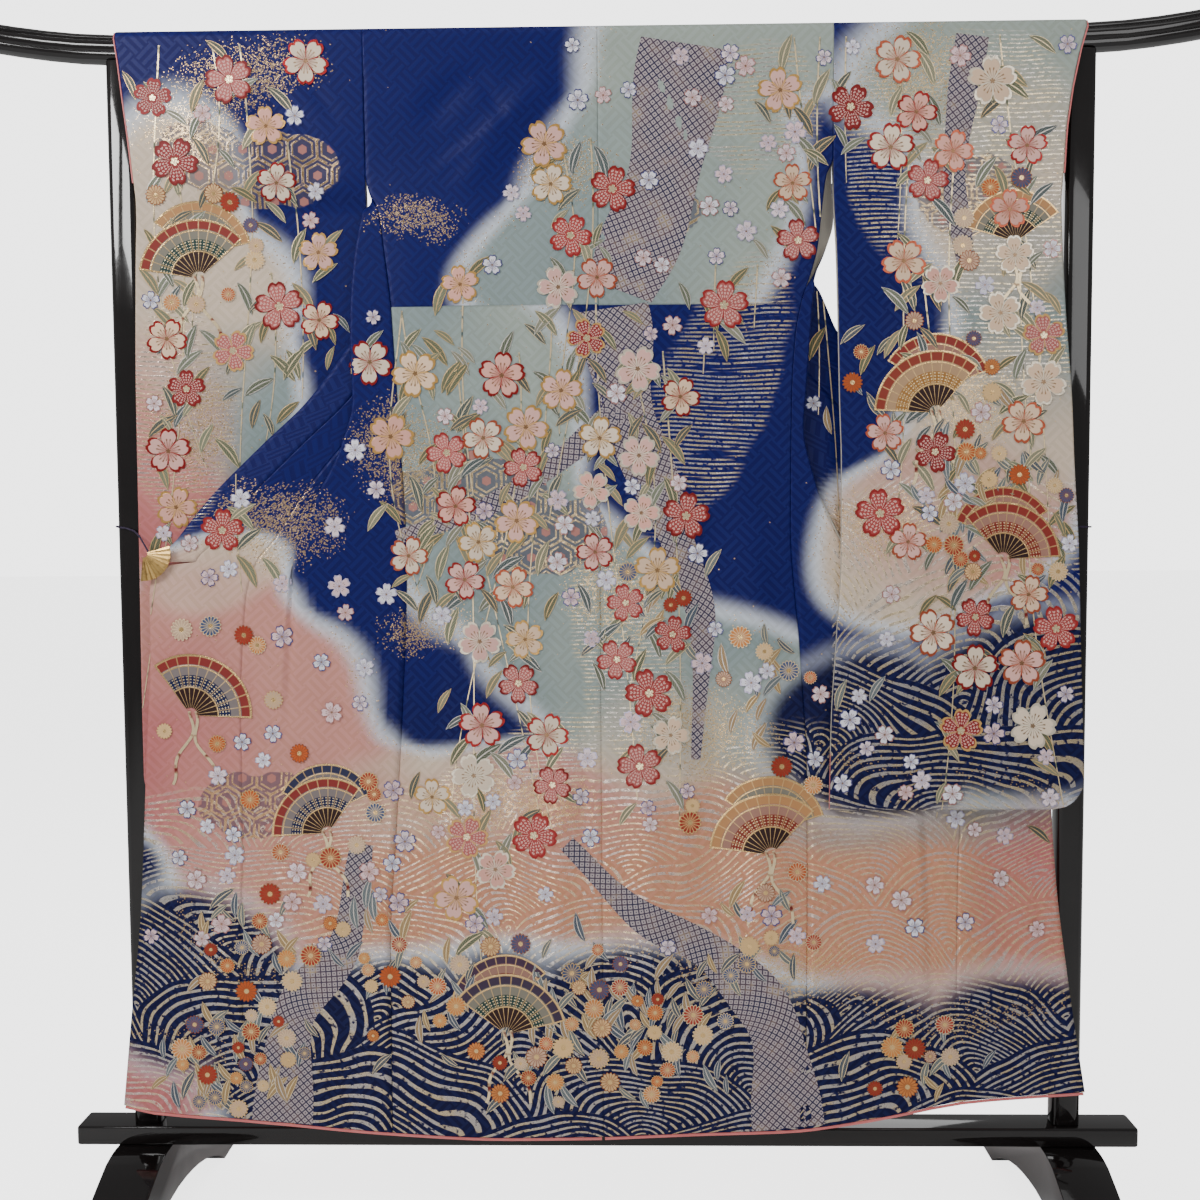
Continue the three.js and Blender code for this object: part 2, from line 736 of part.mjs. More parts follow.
// The padded roll that shows below the hem, from the centre back to the front edge
function hemPiece(side) {
  const rest = HEM_ROLL + 2 * SEAM;
  const edge = backEdge[side](HEM);
  const strip = frontStrip(side, HEM);
  const line = steps(9).map((u) => {
    const a = mix(HEM_ROLL, edge.a - 8, u);
    return [side * a, mix(backDepth(HEM).y, edge.y, (a / edge.a) ** 2), lifted(side, a, HEM)];
  });
  line.push(...steps(9).map((u) => strip.point(mix(8, strip.width - HEM_ROLL, u))));
  return roll(
    line.map(([x, y, z]) => [x, y + WALL / 2, z - rest]),
    HEM_ROLL,
  );
}

// The lining's edge round the open cuff, from its lower end up the back layer, over the rail and
// down the front layer
function cuffPiece(side) {
  const heights = SLEEVE_LEVELS.filter((z) => z > CUFF_END + 4);
  const away = CUFF_ROLL + SEAM;
  const layer = (name, inward) =>
    heights.map((z) => {
      const [x, y] = sleevePoint(side, name, 1, z);
      return [x + side * away, y + inward, z];
    });
  const top = sleeveEdge(side, 1746) + away;
  const over = OVER_RAIL.slice(1).reverse();
  return roll(
    [
      ...layer("back", 1).reverse(),
      ...over.map(([y, z]) => [side * top, y * 0.96, z - 1]),
      ...layer("front", -1),
    ],
    CUFF_ROLL,
  );
}

// --- What holds the fronts open ---------------------------------------------------------------

// A small folding fan, opened from its pivot over the given angles, its paper in pleats
function fanPiece(pivot, radius, from, to) {
  const pleats = 10;
  const rings = [6, 14, 27, radius];
  const rows = rings.map((r) =>
    steps(pleats * 2).map((t, k) => {
      const angle = radians(mix(from, to, t));
      const ridge = (k % 2) * 0.05 * r;
      return [pivot[0] + r * Math.cos(angle), pivot[1] - ridge, pivot[2] + r * Math.sin(angle)];
    }),
  );
  return sheet(rows, false, 1.4);
}

// A spring clip whose two jaws grip the cloth's front edge from outside
function jawPiece(side, a, y, z) {
  const [reach, gape, metal, height] = [14, 3.4, 1.2, 12];
  const outline = [
    [0, -gape - metal],
    [reach + metal, -gape - metal],
    [reach + metal, gape + metal],
    [0, gape + metal],
    [0, gape],
    [reach, gape],
    [reach, -gape],
    [0, -gape],
  ];
  const at = (level) => outline.map(([p, q]) => [side * (a - 8 + p), y + 1 + q, z + level]);
  const faces = [
    [0, 1, 6, 7],
    [1, 2, 5, 6],
    [2, 3, 4, 5],
  ];
  const count = outline.length;
  const quads = [...faces.map((f) => f.map((k) => k + count)), ...faces.map((f) => [...f].reverse())];
  outline.forEach((_, k) => {
    const next = (k + 1) % count;
    quads.push([k, next, next + count, k + count]);
  });
  return outward(solid([...at(-height / 2), ...at(height / 2)], quads));
}

// The thin cord from a clip to the post and round it
const CORD_RADIUS = 1.3;
const cordLines = {
  "-1": [
    [-643.5, -42, 1019],
    [-652, -38, 1032],
    [-662, -30, 1044],
    [-672, -22, 1051],
    [-684, -18, 1055],
    [-697, -17, 1057],
    [-703, -10, 1058],
    [-703.5, 0, 1058],
    [-703, 10, 1058],
    [-697, 17.5, 1058],
    [-680, 18, 1058],
    [-664, 17.5, 1058],
    [-657.5, 10, 1058],
    [-657, 2, 1058],
  ],
  1: [
    [645.6, -4, 1046],
    [651, -8, 1047],
    [655.5, -14, 1048],
    [662, -17.8, 1049],
    [680, -18, 1049],
    [697, -17, 1049],
    [703, -10, 1049],
    [703.5, 0, 1049],
    [703, 10, 1049],
    [697, 17.5, 1049],
    [680, 18, 1049],
    [664, 17.5, 1049],
    [657.5, 10, 1049],
  ],
};

// --- The stand --------------------------------------------------------------------------------

// Half of the rail's moulded section, from its top round the front to its bottom
const RAIL_SECTION = [
  [0, 18.5],
  [-8, 18],
  [-13, 15.5],
  [-15.5, 11.5],
  [-15, 8.6],
  [-14, 7.6],
  [-16.8, 5],
  [-18, 0],
  [-17, -5.4],
  [-14, -7.8],
  [-15.5, -9.6],
  [-15.3, -14],
  [-11, -18],
  [0, -18.5],
];

function railPiece() {
  const rear = RAIL_SECTION.slice(1, -1).map(([y, z]) => [-y, z]).reverse();
  const section = [...RAIL_SECTION, ...rear];
  const half = [0, 690, 740, 785, 830, 870, 905, 938, 946, RAIL.tip];
  const stations = [...half.slice(1).map((x) => -x).reverse(), ...half];
  return loft(
    stations.map((x) => {
      const out = clamp((Math.abs(x) - RAIL.level) / (RAIL.tip - RAIL.level));
      const rise = RAIL.rise * out ** RAIL.bow;
      const round = Math.sqrt(1 - clamp((Math.abs(x) - RAIL.tip + 12) / 14) ** 2);
      return section.map(([y, z]) => [x, y * round, RAIL.middle + rise + z * round]);
    }),
  );
}

function roundedOutline(width, depth, corner) {
  const shape = new THREE.Shape();
  const [w, d] = [width / 2, depth / 2];
  shape.moveTo(-w + corner, -d);
  shape.lineTo(w - corner, -d);
  shape.quadraticCurveTo(w, -d, w, -d + corner);
  shape.lineTo(w, d - corner);
  shape.quadraticCurveTo(w, d, w - corner, d);
  shape.lineTo(-w + corner, d);
  shape.quadraticCurveTo(-w, d, -w, d - corner);
  shape.lineTo(-w, -d + corner);
  shape.quadraticCurveTo(-w, -d, -w + corner, -d);
  return shape;
}

function postPiece() {
  const bottom = PLANK.bottom + PLANK.height + TOUCH;
  const top = RAIL.middle - 18.5 - TOUCH;
  const geometry = new THREE.ExtrudeGeometry(roundedOutline(POST.width, POST.depth, POST.corner), {
    depth: top - bottom,
    bevelEnabled: false,
    curveSegments: 4,
  });
  return geometry.translate(0, 0, bottom);
}

function plankPiece() {
  const { half, depth, bottom, height, bevel } = PLANK;
  const shape = roundedOutline(2 * (half - bevel), depth - 2 * bevel, 3);
  const geometry = new THREE.ExtrudeGeometry(shape, {
    depth: height - 2 * bevel,
    bevelThickness: bevel,
    bevelSize: bevel,
    bevelSegments: 1,
    curveSegments: 2,
  });
  return geometry.translate(0, 0, bottom + bevel);
}

// An arch that spans from a sole in front to a sole behind, drawn from the side and extruded
// across the foot's width
function footPiece() {
  const top = PLANK.bottom - TOUCH;
  const { reach, sole, width } = FOOT;
  const shape = new THREE.Shape();
  shape.moveTo(-reach, 0);
  shape.bezierCurveTo(-reach + 30, 50, -150, 96, -70, top - 6);
  shape.quadraticCurveTo(-50, top, -36, top);
  shape.lineTo(36, top);
  shape.quadraticCurveTo(50, top, 70, top - 6);
  shape.bezierCurveTo(150, 96, reach - 30, 50, reach, 0);
  shape.lineTo(reach - sole, 0);
  shape.bezierCurveTo(reach - sole - 50, 40, 80, 64, 0, 66);
  shape.bezierCurveTo(-80, 64, -reach + sole + 50, 40, -reach + sole, 0);
  const geometry = new THREE.ExtrudeGeometry(shape, {
    depth: width,
    bevelEnabled: false,
    curveSegments: 8,
  });
  return geometry
    .translate(0, 0, -width / 2)
    .rotateX(Math.PI / 2)
    .rotateZ(Math.PI / 2);
}

// --- The scene graph --------------------------------------------------------------------------

const finishes = {
  silk: [COLOURS.silk, 0.5, 0],
  overlap: [COLOURS.overlap, 0.5, 0],
  sleeve: [COLOURS.sleeve, 0.5, 0],
  collar: [COLOURS.collar, 0.5, 0],
  pink: [COLOURS.pink, 0.6, 0],
  lacquer: [COLOURS.lacquer, 0.15, 0],
  gilt: [COLOURS.gilt, 0.3, 1],
  cord: [COLOURS.cord, 0.8, 0],
};

function piece(name, geometry, finish, x = 0) {
  const [color, roughness, metalness] = finishes[finish];
  const material = new THREE.MeshStandardMaterial({ color, roughness, metalness });
  const mesh = new THREE.Mesh(geometry, material);
  mesh.name = name;
  mesh.position.x = x;
  return mesh;
}

const stand = new THREE.Group();
stand.add(piece("rail", railPiece(), "lacquer"), piece("plank", plankPiece(), "lacquer"));

const kimono = new THREE.Group();
kimono.add(piece("collar", collarPiece(), "collar"));

const ties = new THREE.Group();
ties.add(
  piece("clip_fan", fanPiece([-650, -47, 1019], 39, -97, 16), "gilt"),
  piece("clip_jaw_left", jawPiece(-1, 636, -40, 1011), "gilt"),
  piece("clip_jaw_right", jawPiece(1, 636, -5, 1046), "gilt"),
);

for (const [side, name] of [
  [-1, "left"],
  [1, "right"],
]) {
  stand.add(
    piece(`post_${name}`, postPiece(), "lacquer", side * POST.at),
    piece(`foot_${name}`, footPiece(), "lacquer", side * POST.at),
  );
  kimono.add(
    piece(`back_${name}`, backPiece(side), "silk"),
    piece(`front_${name}`, frontPiece(side), "silk"),
    piece(`okumi_${name}`, overlapPiece(side), "overlap"),
    piece(`sleeve_${name}`, sleevePiece(side), "sleeve"),
    piece(`hem_edge_${name}`, hemPiece(side), "pink"),
    piece(`cuff_edge_${name}`, cuffPiece(side), "pink"),
  );
  ties.add(piece(`clip_cord_${name}`, roll(cordLines[side], CORD_RADIUS), "cord"));
}

const group = new THREE.Group();
group.add(stand, kimono, ties);

export default group;
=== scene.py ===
# %% [markdown]
# # A furisode kimono on its lacquered stand
# The kimono hangs over the rail of a stand with its back to us and its fronts clipped open. The
# measured frame gives every solid its place. It could be dressed by colouring those solids, but
# they are thick and plain, so the silk is made again here as thin, finely divided cloth on the
# same lines, and the lacquered wood gets rounded edges and a polish.

# %% Load the measured frame
import json
import math
import random

import bmesh
import bpy
import numpy as np
from mathutils import Matrix, Vector
from mathutils.bvhtree import BVHTree

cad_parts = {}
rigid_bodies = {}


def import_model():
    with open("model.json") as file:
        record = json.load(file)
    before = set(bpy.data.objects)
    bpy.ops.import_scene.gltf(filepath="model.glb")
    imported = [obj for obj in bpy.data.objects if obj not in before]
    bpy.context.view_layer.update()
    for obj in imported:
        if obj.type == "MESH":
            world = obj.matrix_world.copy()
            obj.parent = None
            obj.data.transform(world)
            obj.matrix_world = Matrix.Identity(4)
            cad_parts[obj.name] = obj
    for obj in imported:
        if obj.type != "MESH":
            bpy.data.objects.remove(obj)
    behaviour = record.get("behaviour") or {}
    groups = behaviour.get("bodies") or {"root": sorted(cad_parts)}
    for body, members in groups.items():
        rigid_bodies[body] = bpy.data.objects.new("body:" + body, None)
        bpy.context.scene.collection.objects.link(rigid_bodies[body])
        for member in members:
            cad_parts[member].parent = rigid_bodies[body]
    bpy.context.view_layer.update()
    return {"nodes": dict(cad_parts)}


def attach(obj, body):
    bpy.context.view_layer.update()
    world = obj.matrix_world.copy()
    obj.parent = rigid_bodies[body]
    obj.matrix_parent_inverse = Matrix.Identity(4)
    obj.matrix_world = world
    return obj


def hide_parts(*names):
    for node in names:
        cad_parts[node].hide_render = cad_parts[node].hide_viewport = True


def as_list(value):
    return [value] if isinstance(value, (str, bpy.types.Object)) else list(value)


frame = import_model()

MM = 0.001
print("solids in the frame:", len(frame["nodes"]))

# %% [markdown]
# ## Small tools
# Nearly every piece here starts as a flat grid whose points are then moved to their places. One
# tool makes the grid and says which row and column each point has, one writes the UV map, and
# one puts the finished mesh into the scene with its materials.

# %% Small tools
def grid(bm, rows, across):
    """A flat grid with that many points each way: each point with its (row, column)."""
    made = bmesh.ops.create_grid(bm, x_segments=across - 1, y_segments=rows - 1, size=0.5)
    return {v: (round((v.co.y + 0.5) * (rows - 1)), round((v.co.x + 0.5) * (across - 1)))
            for v in made["verts"]}


def unwrap(faces, uv, flat):
    """Gives each corner of the faces its point's flat place."""
    for face in faces:
        for loop in face.loops:
            loop[uv].uv = flat[loop.vert]


def new_object(name, bm, *materials):
    """Puts what was built into the scene as one smooth object."""
    mesh = bpy.data.meshes.new(name)
    bm.to_mesh(mesh)
    bm.free()
    mesh.polygons.foreach_set("use_smooth", [True] * len(mesh.polygons))
    for material in materials:
        mesh.materials.append(material)
    ob = bpy.data.objects.new(name, mesh)
    bpy.context.scene.collection.objects.link(ob)
    return ob


print("tools ready: grid, unwrap, new_object")

# %% [markdown]
# ## Camera, floor and light
# The camera stands where a visitor would, a little under two metres from the cloth. A camera can
# be aimed with a Track To constraint. Here its turn is written out from three small angles, so
# that it never depends on another object. Two smaller lamps high at the left give the silk its
# sheen, and large soft ones fill in from the front, from above and from behind.

# %% Camera
YAW, PITCH, ROLL = -0.017, 0.055, -0.006
EYE = Vector((0.0283, -1.744, 1.043))


def camera_turn(yaw, pitch, roll):
    """The camera's axes as a rotation matrix, from angles in radians."""
    ahead = Vector((math.sin(yaw) * math.cos(pitch), math.cos(yaw) * math.cos(pitch),
                    -math.sin(pitch)))
    level = Vector((math.cos(yaw), -math.sin(yaw), 0))
    over = Vector((math.sin(yaw) * math.sin(pitch), math.cos(yaw) * math.sin(pitch),
                   math.cos(pitch)))
    right = level * math.cos(roll) + over * math.sin(roll)
    up = over * math.cos(roll) - level * math.sin(roll)
    return Matrix((right, up, -ahead)).transposed()


camera = bpy.data.objects.new("camera", bpy.data.cameras.new("camera"))
camera.data.sensor_width = 36
camera.data.lens = 36
camera.matrix_world = Matrix.Translation(EYE) @ camera_turn(YAW, PITCH, ROLL).to_4x4()
bpy.context.scene.collection.objects.link(camera)
bpy.context.scene.camera = camera
print("camera at", tuple(round(v, 3) for v in EYE))


# %% Floor, air and lamps
def lamp(name, place, target, size, power):
    """A soft lamp at place that faces target."""
    data = bpy.data.lights.new(name, "AREA")
    data.shape = "RECTANGLE"
    data.size, data.size_y = size
    data.energy = power
    ob = bpy.data.objects.new(name, data)
    ob.location = place
    ob.rotation_euler = (Vector(target) - Vector(place)).to_track_quat("-Z", "Y").to_euler()
    bpy.context.scene.collection.objects.link(ob)


lamp("key", (-2.1, -1.6, 2.55), (-0.1, 0, 1.1), (0.6, 0.6), 32)
lamp("window", (-1.5, -2.0, 2.6), (-0.1, 0, 1.1), (0.5, 0.5), 19)
lamp("fill", (1.4, -2.2, 2.2), (0.1, 0, 1.0), (0.9, 0.9), 9)
lamp("low", (-0.3, -2.6, 0.5), (0, 0, 0.8), (0.8, 0.5), 6)
lamp("top", (0.2, -0.9, 3.4), (0, 0, 1.2), (2.4, 1.0), 8)
lamp("rear", (0.5, 2.8, 2.6), (0, 0, 1.0), (2.0, 2.0), 32)

AIR_LIGHT, AIR_SEEN, FLOOR_GLOW = 0.34, 3.4, 2.75
world = bpy.data.worlds.new("studio")
world.use_nodes = True
tree = world.node_tree
air = tree.nodes["Background"].inputs
air["Color"].default_value = (1, 1, 1, 1)
seen = tree.nodes.new("ShaderNodeLightPath").outputs["Is Camera Ray"]
level = tree.nodes.new("ShaderNodeMapRange")
level.inputs["To Min"].default_value = AIR_LIGHT
level.inputs["To Max"].default_value = AIR_SEEN
tree.links.new(seen, level.inputs["Value"])
tree.links.new(level.outputs["Result"], air["Strength"])
bpy.context.scene.world = world

paper = bpy.data.materials.new("pale paper floor")
paper.use_nodes = True
tree = paper.node_tree
sheet = tree.nodes["Principled BSDF"].inputs
sheet["Base Color"].default_value = (0.93, 0.93, 0.93, 1)
sheet["Roughness"].default_value = 0.7
sheet["Emission Color"].default_value = (1, 1, 1, 1)
seen = tree.nodes.new("ShaderNodeLightPath").outputs["Is Camera Ray"]
glow = tree.nodes.new("ShaderNodeMath")
glow.operation = "MULTIPLY"
glow.inputs[1].default_value = FLOOR_GLOW
tree.links.new(seen, glow.inputs[0])
tree.links.new(glow.outputs[0], sheet["Emission Strength"])

bm = bmesh.new()
bmesh.ops.create_grid(bm, x_segments=1, y_segments=1, size=30)
floor = new_object("floor", bm, paper)
print("floor, air and lamps ready")

# %% [markdown]
# ## How the cloth hangs, in numbers
# A kimono is sewn from straight strips, so each piece is a plain rectangle or a long thin one
# before it is hung. What gives it its form here is where its edges hang. The tables below hold
# that, height by height and in millimetres, for the half at the left and the half at the right.
# A curve through the rows that never swings past them keeps the edges calm.

# %% Measures of the garment
TOP, HEM, REAR_TOP = 1759, 172, 1742
FACE = 20.5
COLLAR_WIDTH, COLLAR_END, OVERLAP_TIP = 57, 1005, 1500
SIDE_SEAM_TOP, CUFF_END = 1369, 1529
SLEEVE_BOTTOM, SLEEVE_ROUNDING = 650, 45
NECK = 85
TURN_OUT, TURN_IN = 3.5, 2.0
WALL = 2.0
TUCK = 1366
SILK = 1.5 * MM


def curve(xs, ys):
    """A smooth line through the points that never swings past them."""
    xs, ys = np.array(xs, float), np.array(ys, float)
    rise = np.diff(ys) / np.diff(xs)
    slope = np.concatenate([rise[:1], np.zeros(len(xs) - 2), rise[-1:]])
    for k in range(1, len(xs) - 1):
        if rise[k - 1] * rise[k] > 0:
            slope[k] = 2 * rise[k - 1] * rise[k] / (rise[k - 1] + rise[k])

    def at(x):
        x = np.clip(x, xs[0], xs[-1])
        k = np.clip(np.searchsorted(xs, x) - 1, 0, len(xs) - 2)
        width = xs[k + 1] - xs[k]
        t = (x - xs[k]) / width
        u = 1 - t
        return (ys[k] * u * u * (1 + 2 * t) + ys[k + 1] * t * t * (3 - 2 * t)
                + slope[k] * width * t * u * u - slope[k + 1] * width * t * t * u)

    return at


def table(columns, rows):
    """A curve for each named column, over the height in each row's first place."""
    rows = sorted(rows)
    return {name: curve([r[0] for r in rows], [r[k + 1] for r in rows])
            for k, name in enumerate(columns.split())}


back_depth = table("y", [(HEM, -54), (600, -46), (1000, -38), (1369, -30), (1500, -25),
                         (1650, -21), (1746, -FACE)])["y"]
BACK_EDGE = {
    -1: table("a y", [
        (HEM, 307, -52), (461, 306, -48.5), (600, 297, -46), (808, 284, -42), (1005, 276, -38),
        (1164, 283, -34.5), (1320, 292, -31), (1369, 295, -29.5), (1442, 304, -27),
        (1500, 312, -23.5), (1515, 318, -20.5), (1530, 326, -18.5), (1559, 331, -17),
        (1650, 331, -20), (1746, 331, -FACE)]),
    1: table("a y", [
        (HEM, 292, -52), (529, 294, -47), (702, 293, -44), (877, 283, -40.5), (1053, 270, -37.5),
        (1235, 272, -33), (1320, 277, -31), (1369, 286, -29.5), (1411, 300, -28),
        (1442, 308, -27), (1500, 315, -24), (1544, 321, -21), (1570, 331, -20),
        (1650, 331, -20), (1746, 331, -FACE)]),
}
FRONT_EDGE = {
    -1: table("a y", [
        (1369, 295, -29.5), (1442, 304, -27), (1500, 312, -23.5), (1515, 318, -18.5),
        (1530, 325, -12), (1545, 330.5, -8), (1560, 331, -4), (1600, 331, 5), (1650, 331, 14),
        (1700, 331, 19.5), (REAR_TOP, 331, FACE)]),
    1: table("a y", [
        (1369, 286, -29.5), (1388, 292, -28), (1407, 303, -21), (1446, 322, -10),
        (1485, 334, -2), (1515, 333, -1.5), (1530, 331, -2), (1560, 331, -3), (1600, 331, 5),
        (1650, 331, 14), (1700, 331, 19.5), (REAR_TOP, 331, FACE)]),
}
print("the back's side edge at the hem:", [float(BACK_EDGE[s]["a"](HEM)) for s in (-1, 1)])

# %% [markdown]
# The front panel leaves the side seam, turns back on itself at a fold, runs behind, turns out
# again and ends at the front edge. Each row says where that happens at one height: the fold, how
# far the cloth runs back under it, its depth at the inner turn, and the front edge. Lead and
# trail are the directions, in degrees, in which it leaves the seam and reaches the edge.

# %% Measures of the fronts and the sleeves
AT_RAIL = [(1600, 331, 228, 18, 176, 44, 180, 90), (1650, 331, 238, 20, 150, 36, 180, 140),
           (1700, 331, 243, FACE, 144, 24, 180, 170),
           (REAR_TOP, 331, 246, FACE, 142, FACE, 180, 180)]
FRONT = {
    -1: table("fold under inner front outer lead trail", [
        (HEM, 460, 0, -53, 697, -54, 0, 0), (314, 455, 0, -51, 684, -52, 0, 0),
        (490, 450, 0, -49, 666, -50, 0, 0), (752, 440, 0, -44, 652, -46, 0, 0),
        (867, 436, 1, -42, 645, -44, 0, 0), (953, 434, 4, -38, 644, -42, 0, 0),
        (1005, 438, 12, -31, 633, -40, 0, 0), (1031, 430, 22, -29, 610, -38, 0, 0),
        (1094, 405, 44, -26, 560, -34, 0, 0), (1170, 368, 77, -22, 485, -28, 0, 0),
        (1235, 351, 108, -18, 417, -24, 0, 0), (1320, 353, 136, -10, 353, -19, 0, 0),
        (1369, 352, 150, -5, 322, -8, 0, 0), (1442, 345, 172, 3, 276, 4, 0, 0),
        (1500, 334, 190, 9, 238, 16, 0, 0), (1515, 331, 196, 11, 230, 20, 60, 8),
        (1530, 331, 204, 12, 221, 26, 120, 20), (1543, 331, 209, 13, 213, 31, 180, 32),
        (1559, 331, 215, 15, 203, 36, 180, 45), *AT_RAIL]),
    1: table("fold under inner front outer lead trail", [
        (HEM, 455, 0, -52, 692, -50, 0, 0), (371, 450, 0, -46, 668, -39, 0, 0),
        (515, 445, 0, -42, 654, -29, 0, 0), (636, 440, 0, -38, 648, -21, 0, 0),
        (800, 420, 0, -33, 644, -12, 0, 0), (950, 380, 2, -29, 640, -7, 0, 0),
        (1045, 330, 6, -29, 636, -5, 0, 0), (1117, 304, 37, -22, 561, -4, 0, 0),
        (1193, 288, 72, -14, 484, -3.5, 0, 0), (1235, 291, 90, -10, 440, -3, 0, 0),
        (1330, 298, 135, 0, 341, -2, 0, 0), (1369, 301, 144, 3, 324, 0, 0, 0),
        (1390, 304, 150, 4, 315, 3, 0, 0), (1407, 305, 158, 5, 304, 6, 60, 0),
        (1445, 322, 176, 7, 286, 8, 150, 0), (1480, 335, 188, 8, 266, 12, 180, 0),
        (1500, 335, 194, 9, 255, 16, 180, 0), (1530, 333, 199, 12, 238, 26, 180, 20),
        (1559, 331, 213, 15, 207, 36, 180, 45), *AT_RAIL]),
}
front_width = table("w", [(HEM, 214), (519, 216), (679, 225), (895, 236), (1300, 243),
                          (OVERLAP_TIP, 246), (REAR_TOP, 246)])["w"]
SLEEVE = {
    -1: table("inner outer back_in back_out front_in front_out", [
        (650, 336, 667, -12, -24, -2, -16.6), (746, 335, 667, -12, -24, -1, -16.6),
        (1067, 333, 665, -9, -23.5, 2, -16.6), (1239, 333, 664, -8, -23.5, 3, -16.8),
        (1400, 332, 660, -7, -23.5, 5, -16.8), (1450, 332, 658.5, -6, -23, 4, -14.5),
        (1500, 332, 657, -6, -22, 3, -9), (1515, 331.5, 657, -8, -22, 2, -3),
        (1529, 331.3, 658, -12, -22, 0, 6), (1559, 331, 661, -16, -21.5, -5, 19),
        (1600, 331, 665, -18.5, -21, 5, 20), (1650, 331, 671, -20, -FACE, 14, FACE),
        (1700, 331, 676, -FACE, -FACE, 19.5, FACE), (1746, 331, 682, -FACE, -FACE, FACE, FACE)]),
    1: table("inner outer back_in back_out front_in front_out", [
        (650, 323, 683, -60, -56, -50, -47), (778, 326, 680, -56, -52, -46.5, -42),
        (891, 333, 677, -53, -47, -43, -37), (1004, 340, 675, -49, -42, -39, -33),
        (1145, 341, 668, -42, -36, -32, -27), (1226, 339, 665, -38, -33, -27, -24),
        (1366, 337, 655, -31, -28, -19, -19), (1450, 335, 651, -27, -25, -13, -15),
        (1505, 332, 649.5, -23, -23, -9, -10), (1529, 331.3, 651, -21, -22.5, -8, 4),
        (1559, 331, 653, -20, -22, -5, 19), (1600, 331, 655, -20, -21.5, 5, 20),
        (1650, 331, 661, -20, -21, 14, FACE), (1700, 331, 670, -FACE, -FACE, 19.5, FACE),
        (1746, 331, 682, -FACE, -FACE, FACE, FACE)]),
}
HEM_LIFT = {
    -1: curve([0, 150, 295, 513, 674, 697], [0, -2, 4, 24, 39, 46]),
    1: curve([0, 139, 269, 384, 527, 692], [0, 6, 10, 26, 54, 66]),
}
print("collar and front edge reach out to", float(FRONT[-1]["front"](COLLAR_END)), "mm")

# %% [markdown]
# ## Creases
# Hung silk keeps soft folds: long slack ones down the skirt, slanting ones that run from the
# armholes to the rail, and pulls that fan out from the clip. They could come from a cloth
# simulation, but that would let go of the measured outline. Each is instead laid one by one, as a
# line with a width and a height, and a soft ridge or trough grows along it.

# %% Creases, in millimetres: from x, z to x, z, then half width and height
BACK_CREASES = [
    (-222, 1240, -226, 420, 34, 5), (-128, 1150, -134, 300, 30, -4), (-64, 800, -72, 190, 26, 3),
    (62, 900, 78, 190, 30, 3), (150, 1300, 166, 330, 36, -5), (212, 1230, 240, 240, 30, 4),
    (-214, 1515, -56, 1712, 24, 4), (-262, 1610, -140, 1735, 20, -3), (190, 1500, 90, 1700, 26, 3),
    (-250, 1540, -90, 1660, 8, 1.4), (-190, 1730, -96, 1560, 7, -1.2),
    (-120, 1735, -30, 1600, 9, 1.3), (-80, 1500, 20, 1700, 8, -1.1), (60, 1735, 140, 1560, 8, 1.1),
    (250, 1720, 180, 1560, 9, -1.3), (-280, 1370, -150, 1250, 9, 1.2),
    (-60, 1360, -90, 1180, 8, -1.2), (40, 1360, 30, 1150, 7, 1.1), (110, 1360, 96, 1080, 10, -1.4),
    (200, 1350, 190, 1100, 8, 1.2), (-180, 1200, -176, 700, 9, 1.2),
    (-20, 1000, -26, 500, 8, -1.0), (110, 900, 118, 420, 9, 1.3), (190, 820, 205, 380, 8, -1.2),
    (-250, 760, -262, 260, 9, -1.2), (-100, 620, -104, 230, 8, 1.0), (250, 700, 266, 300, 7, 1.2),
    (30, 640, 36, 220, 9, -1.1), (-300, 1120, -120, 1050, 12, 1.1),
    (260, 1280, 140, 1180, 11, 1.2),
]
SLEEVE_CREASES = [
    (-505, 1690, -350, 1520, 22, -4), (-408, 1560, -345, 1515, 16, 3),
    (-560, 1500, -600, 900, 40, 3), (-450, 1400, -470, 800, 36, -3), (430, 1545, 570, 1705, 24, 4),
    (500, 1500, 640, 1650, 22, -3), (355, 1240, 405, 1238, 9, 3), (430, 1150, 440, 720, 36, 3),
    (570, 1300, 560, 760, 40, -3), (-520, 1720, -380, 1560, 7, 1.3),
    (-450, 1735, -345, 1600, 8, -1.3), (-600, 1700, -520, 1500, 9, 1.2),
    (-400, 1500, -420, 1200, 9, 1.2), (-520, 1330, -530, 1050, 8, -1.2),
    (-620, 1420, -616, 1100, 7, 1.1), (380, 1700, 470, 1560, 8, -1.2),
    (480, 1735, 560, 1600, 9, 1.3), (600, 1720, 640, 1560, 8, -1.2),
    (400, 1450, 396, 1280, 9, 1.2), (500, 1350, 508, 1100, 8, -1.3), (620, 1250, 616, 900, 9, 1.2),
    (360, 1100, 372, 760, 8, 1.2), (500, 980, 506, 700, 9, -1.2), (350, 1390, 460, 1360, 9, 1.2),
    (560, 1120, 650, 1090, 10, 1.0),
]
FRONT_CREASES = [
    (-600, 960, -548, 740, 24, 4), (-560, 975, -450, 760, 22, -3), (-620, 900, -628, 520, 22, -3),
    (-400, 800, -410, 300, 30, 4), (-570, 620, -590, 240, 30, 4), (400, 760, 420, 300, 32, 4),
    (560, 640, 580, 270, 30, -4), (-610, 985, -520, 820, 7, 1.4), (-590, 985, -480, 860, 7, -1.3),
    (-600, 950, -600, 760, 8, 1.2), (-500, 900, -440, 620, 9, 1.4),
    (-470, 560, -480, 260, 9, -1.3), (-640, 700, -650, 300, 8, 1.1),
    (-520, 520, -540, 230, 8, 1.2), (-350, 700, -356, 260, 9, 1.2),
    (-400, 1150, -360, 900, 9, -1.1), (340, 620, 352, 280, 8, 1.2), (480, 620, 500, 290, 9, 1.3),
    (620, 620, 640, 330, 8, -1.2),
]
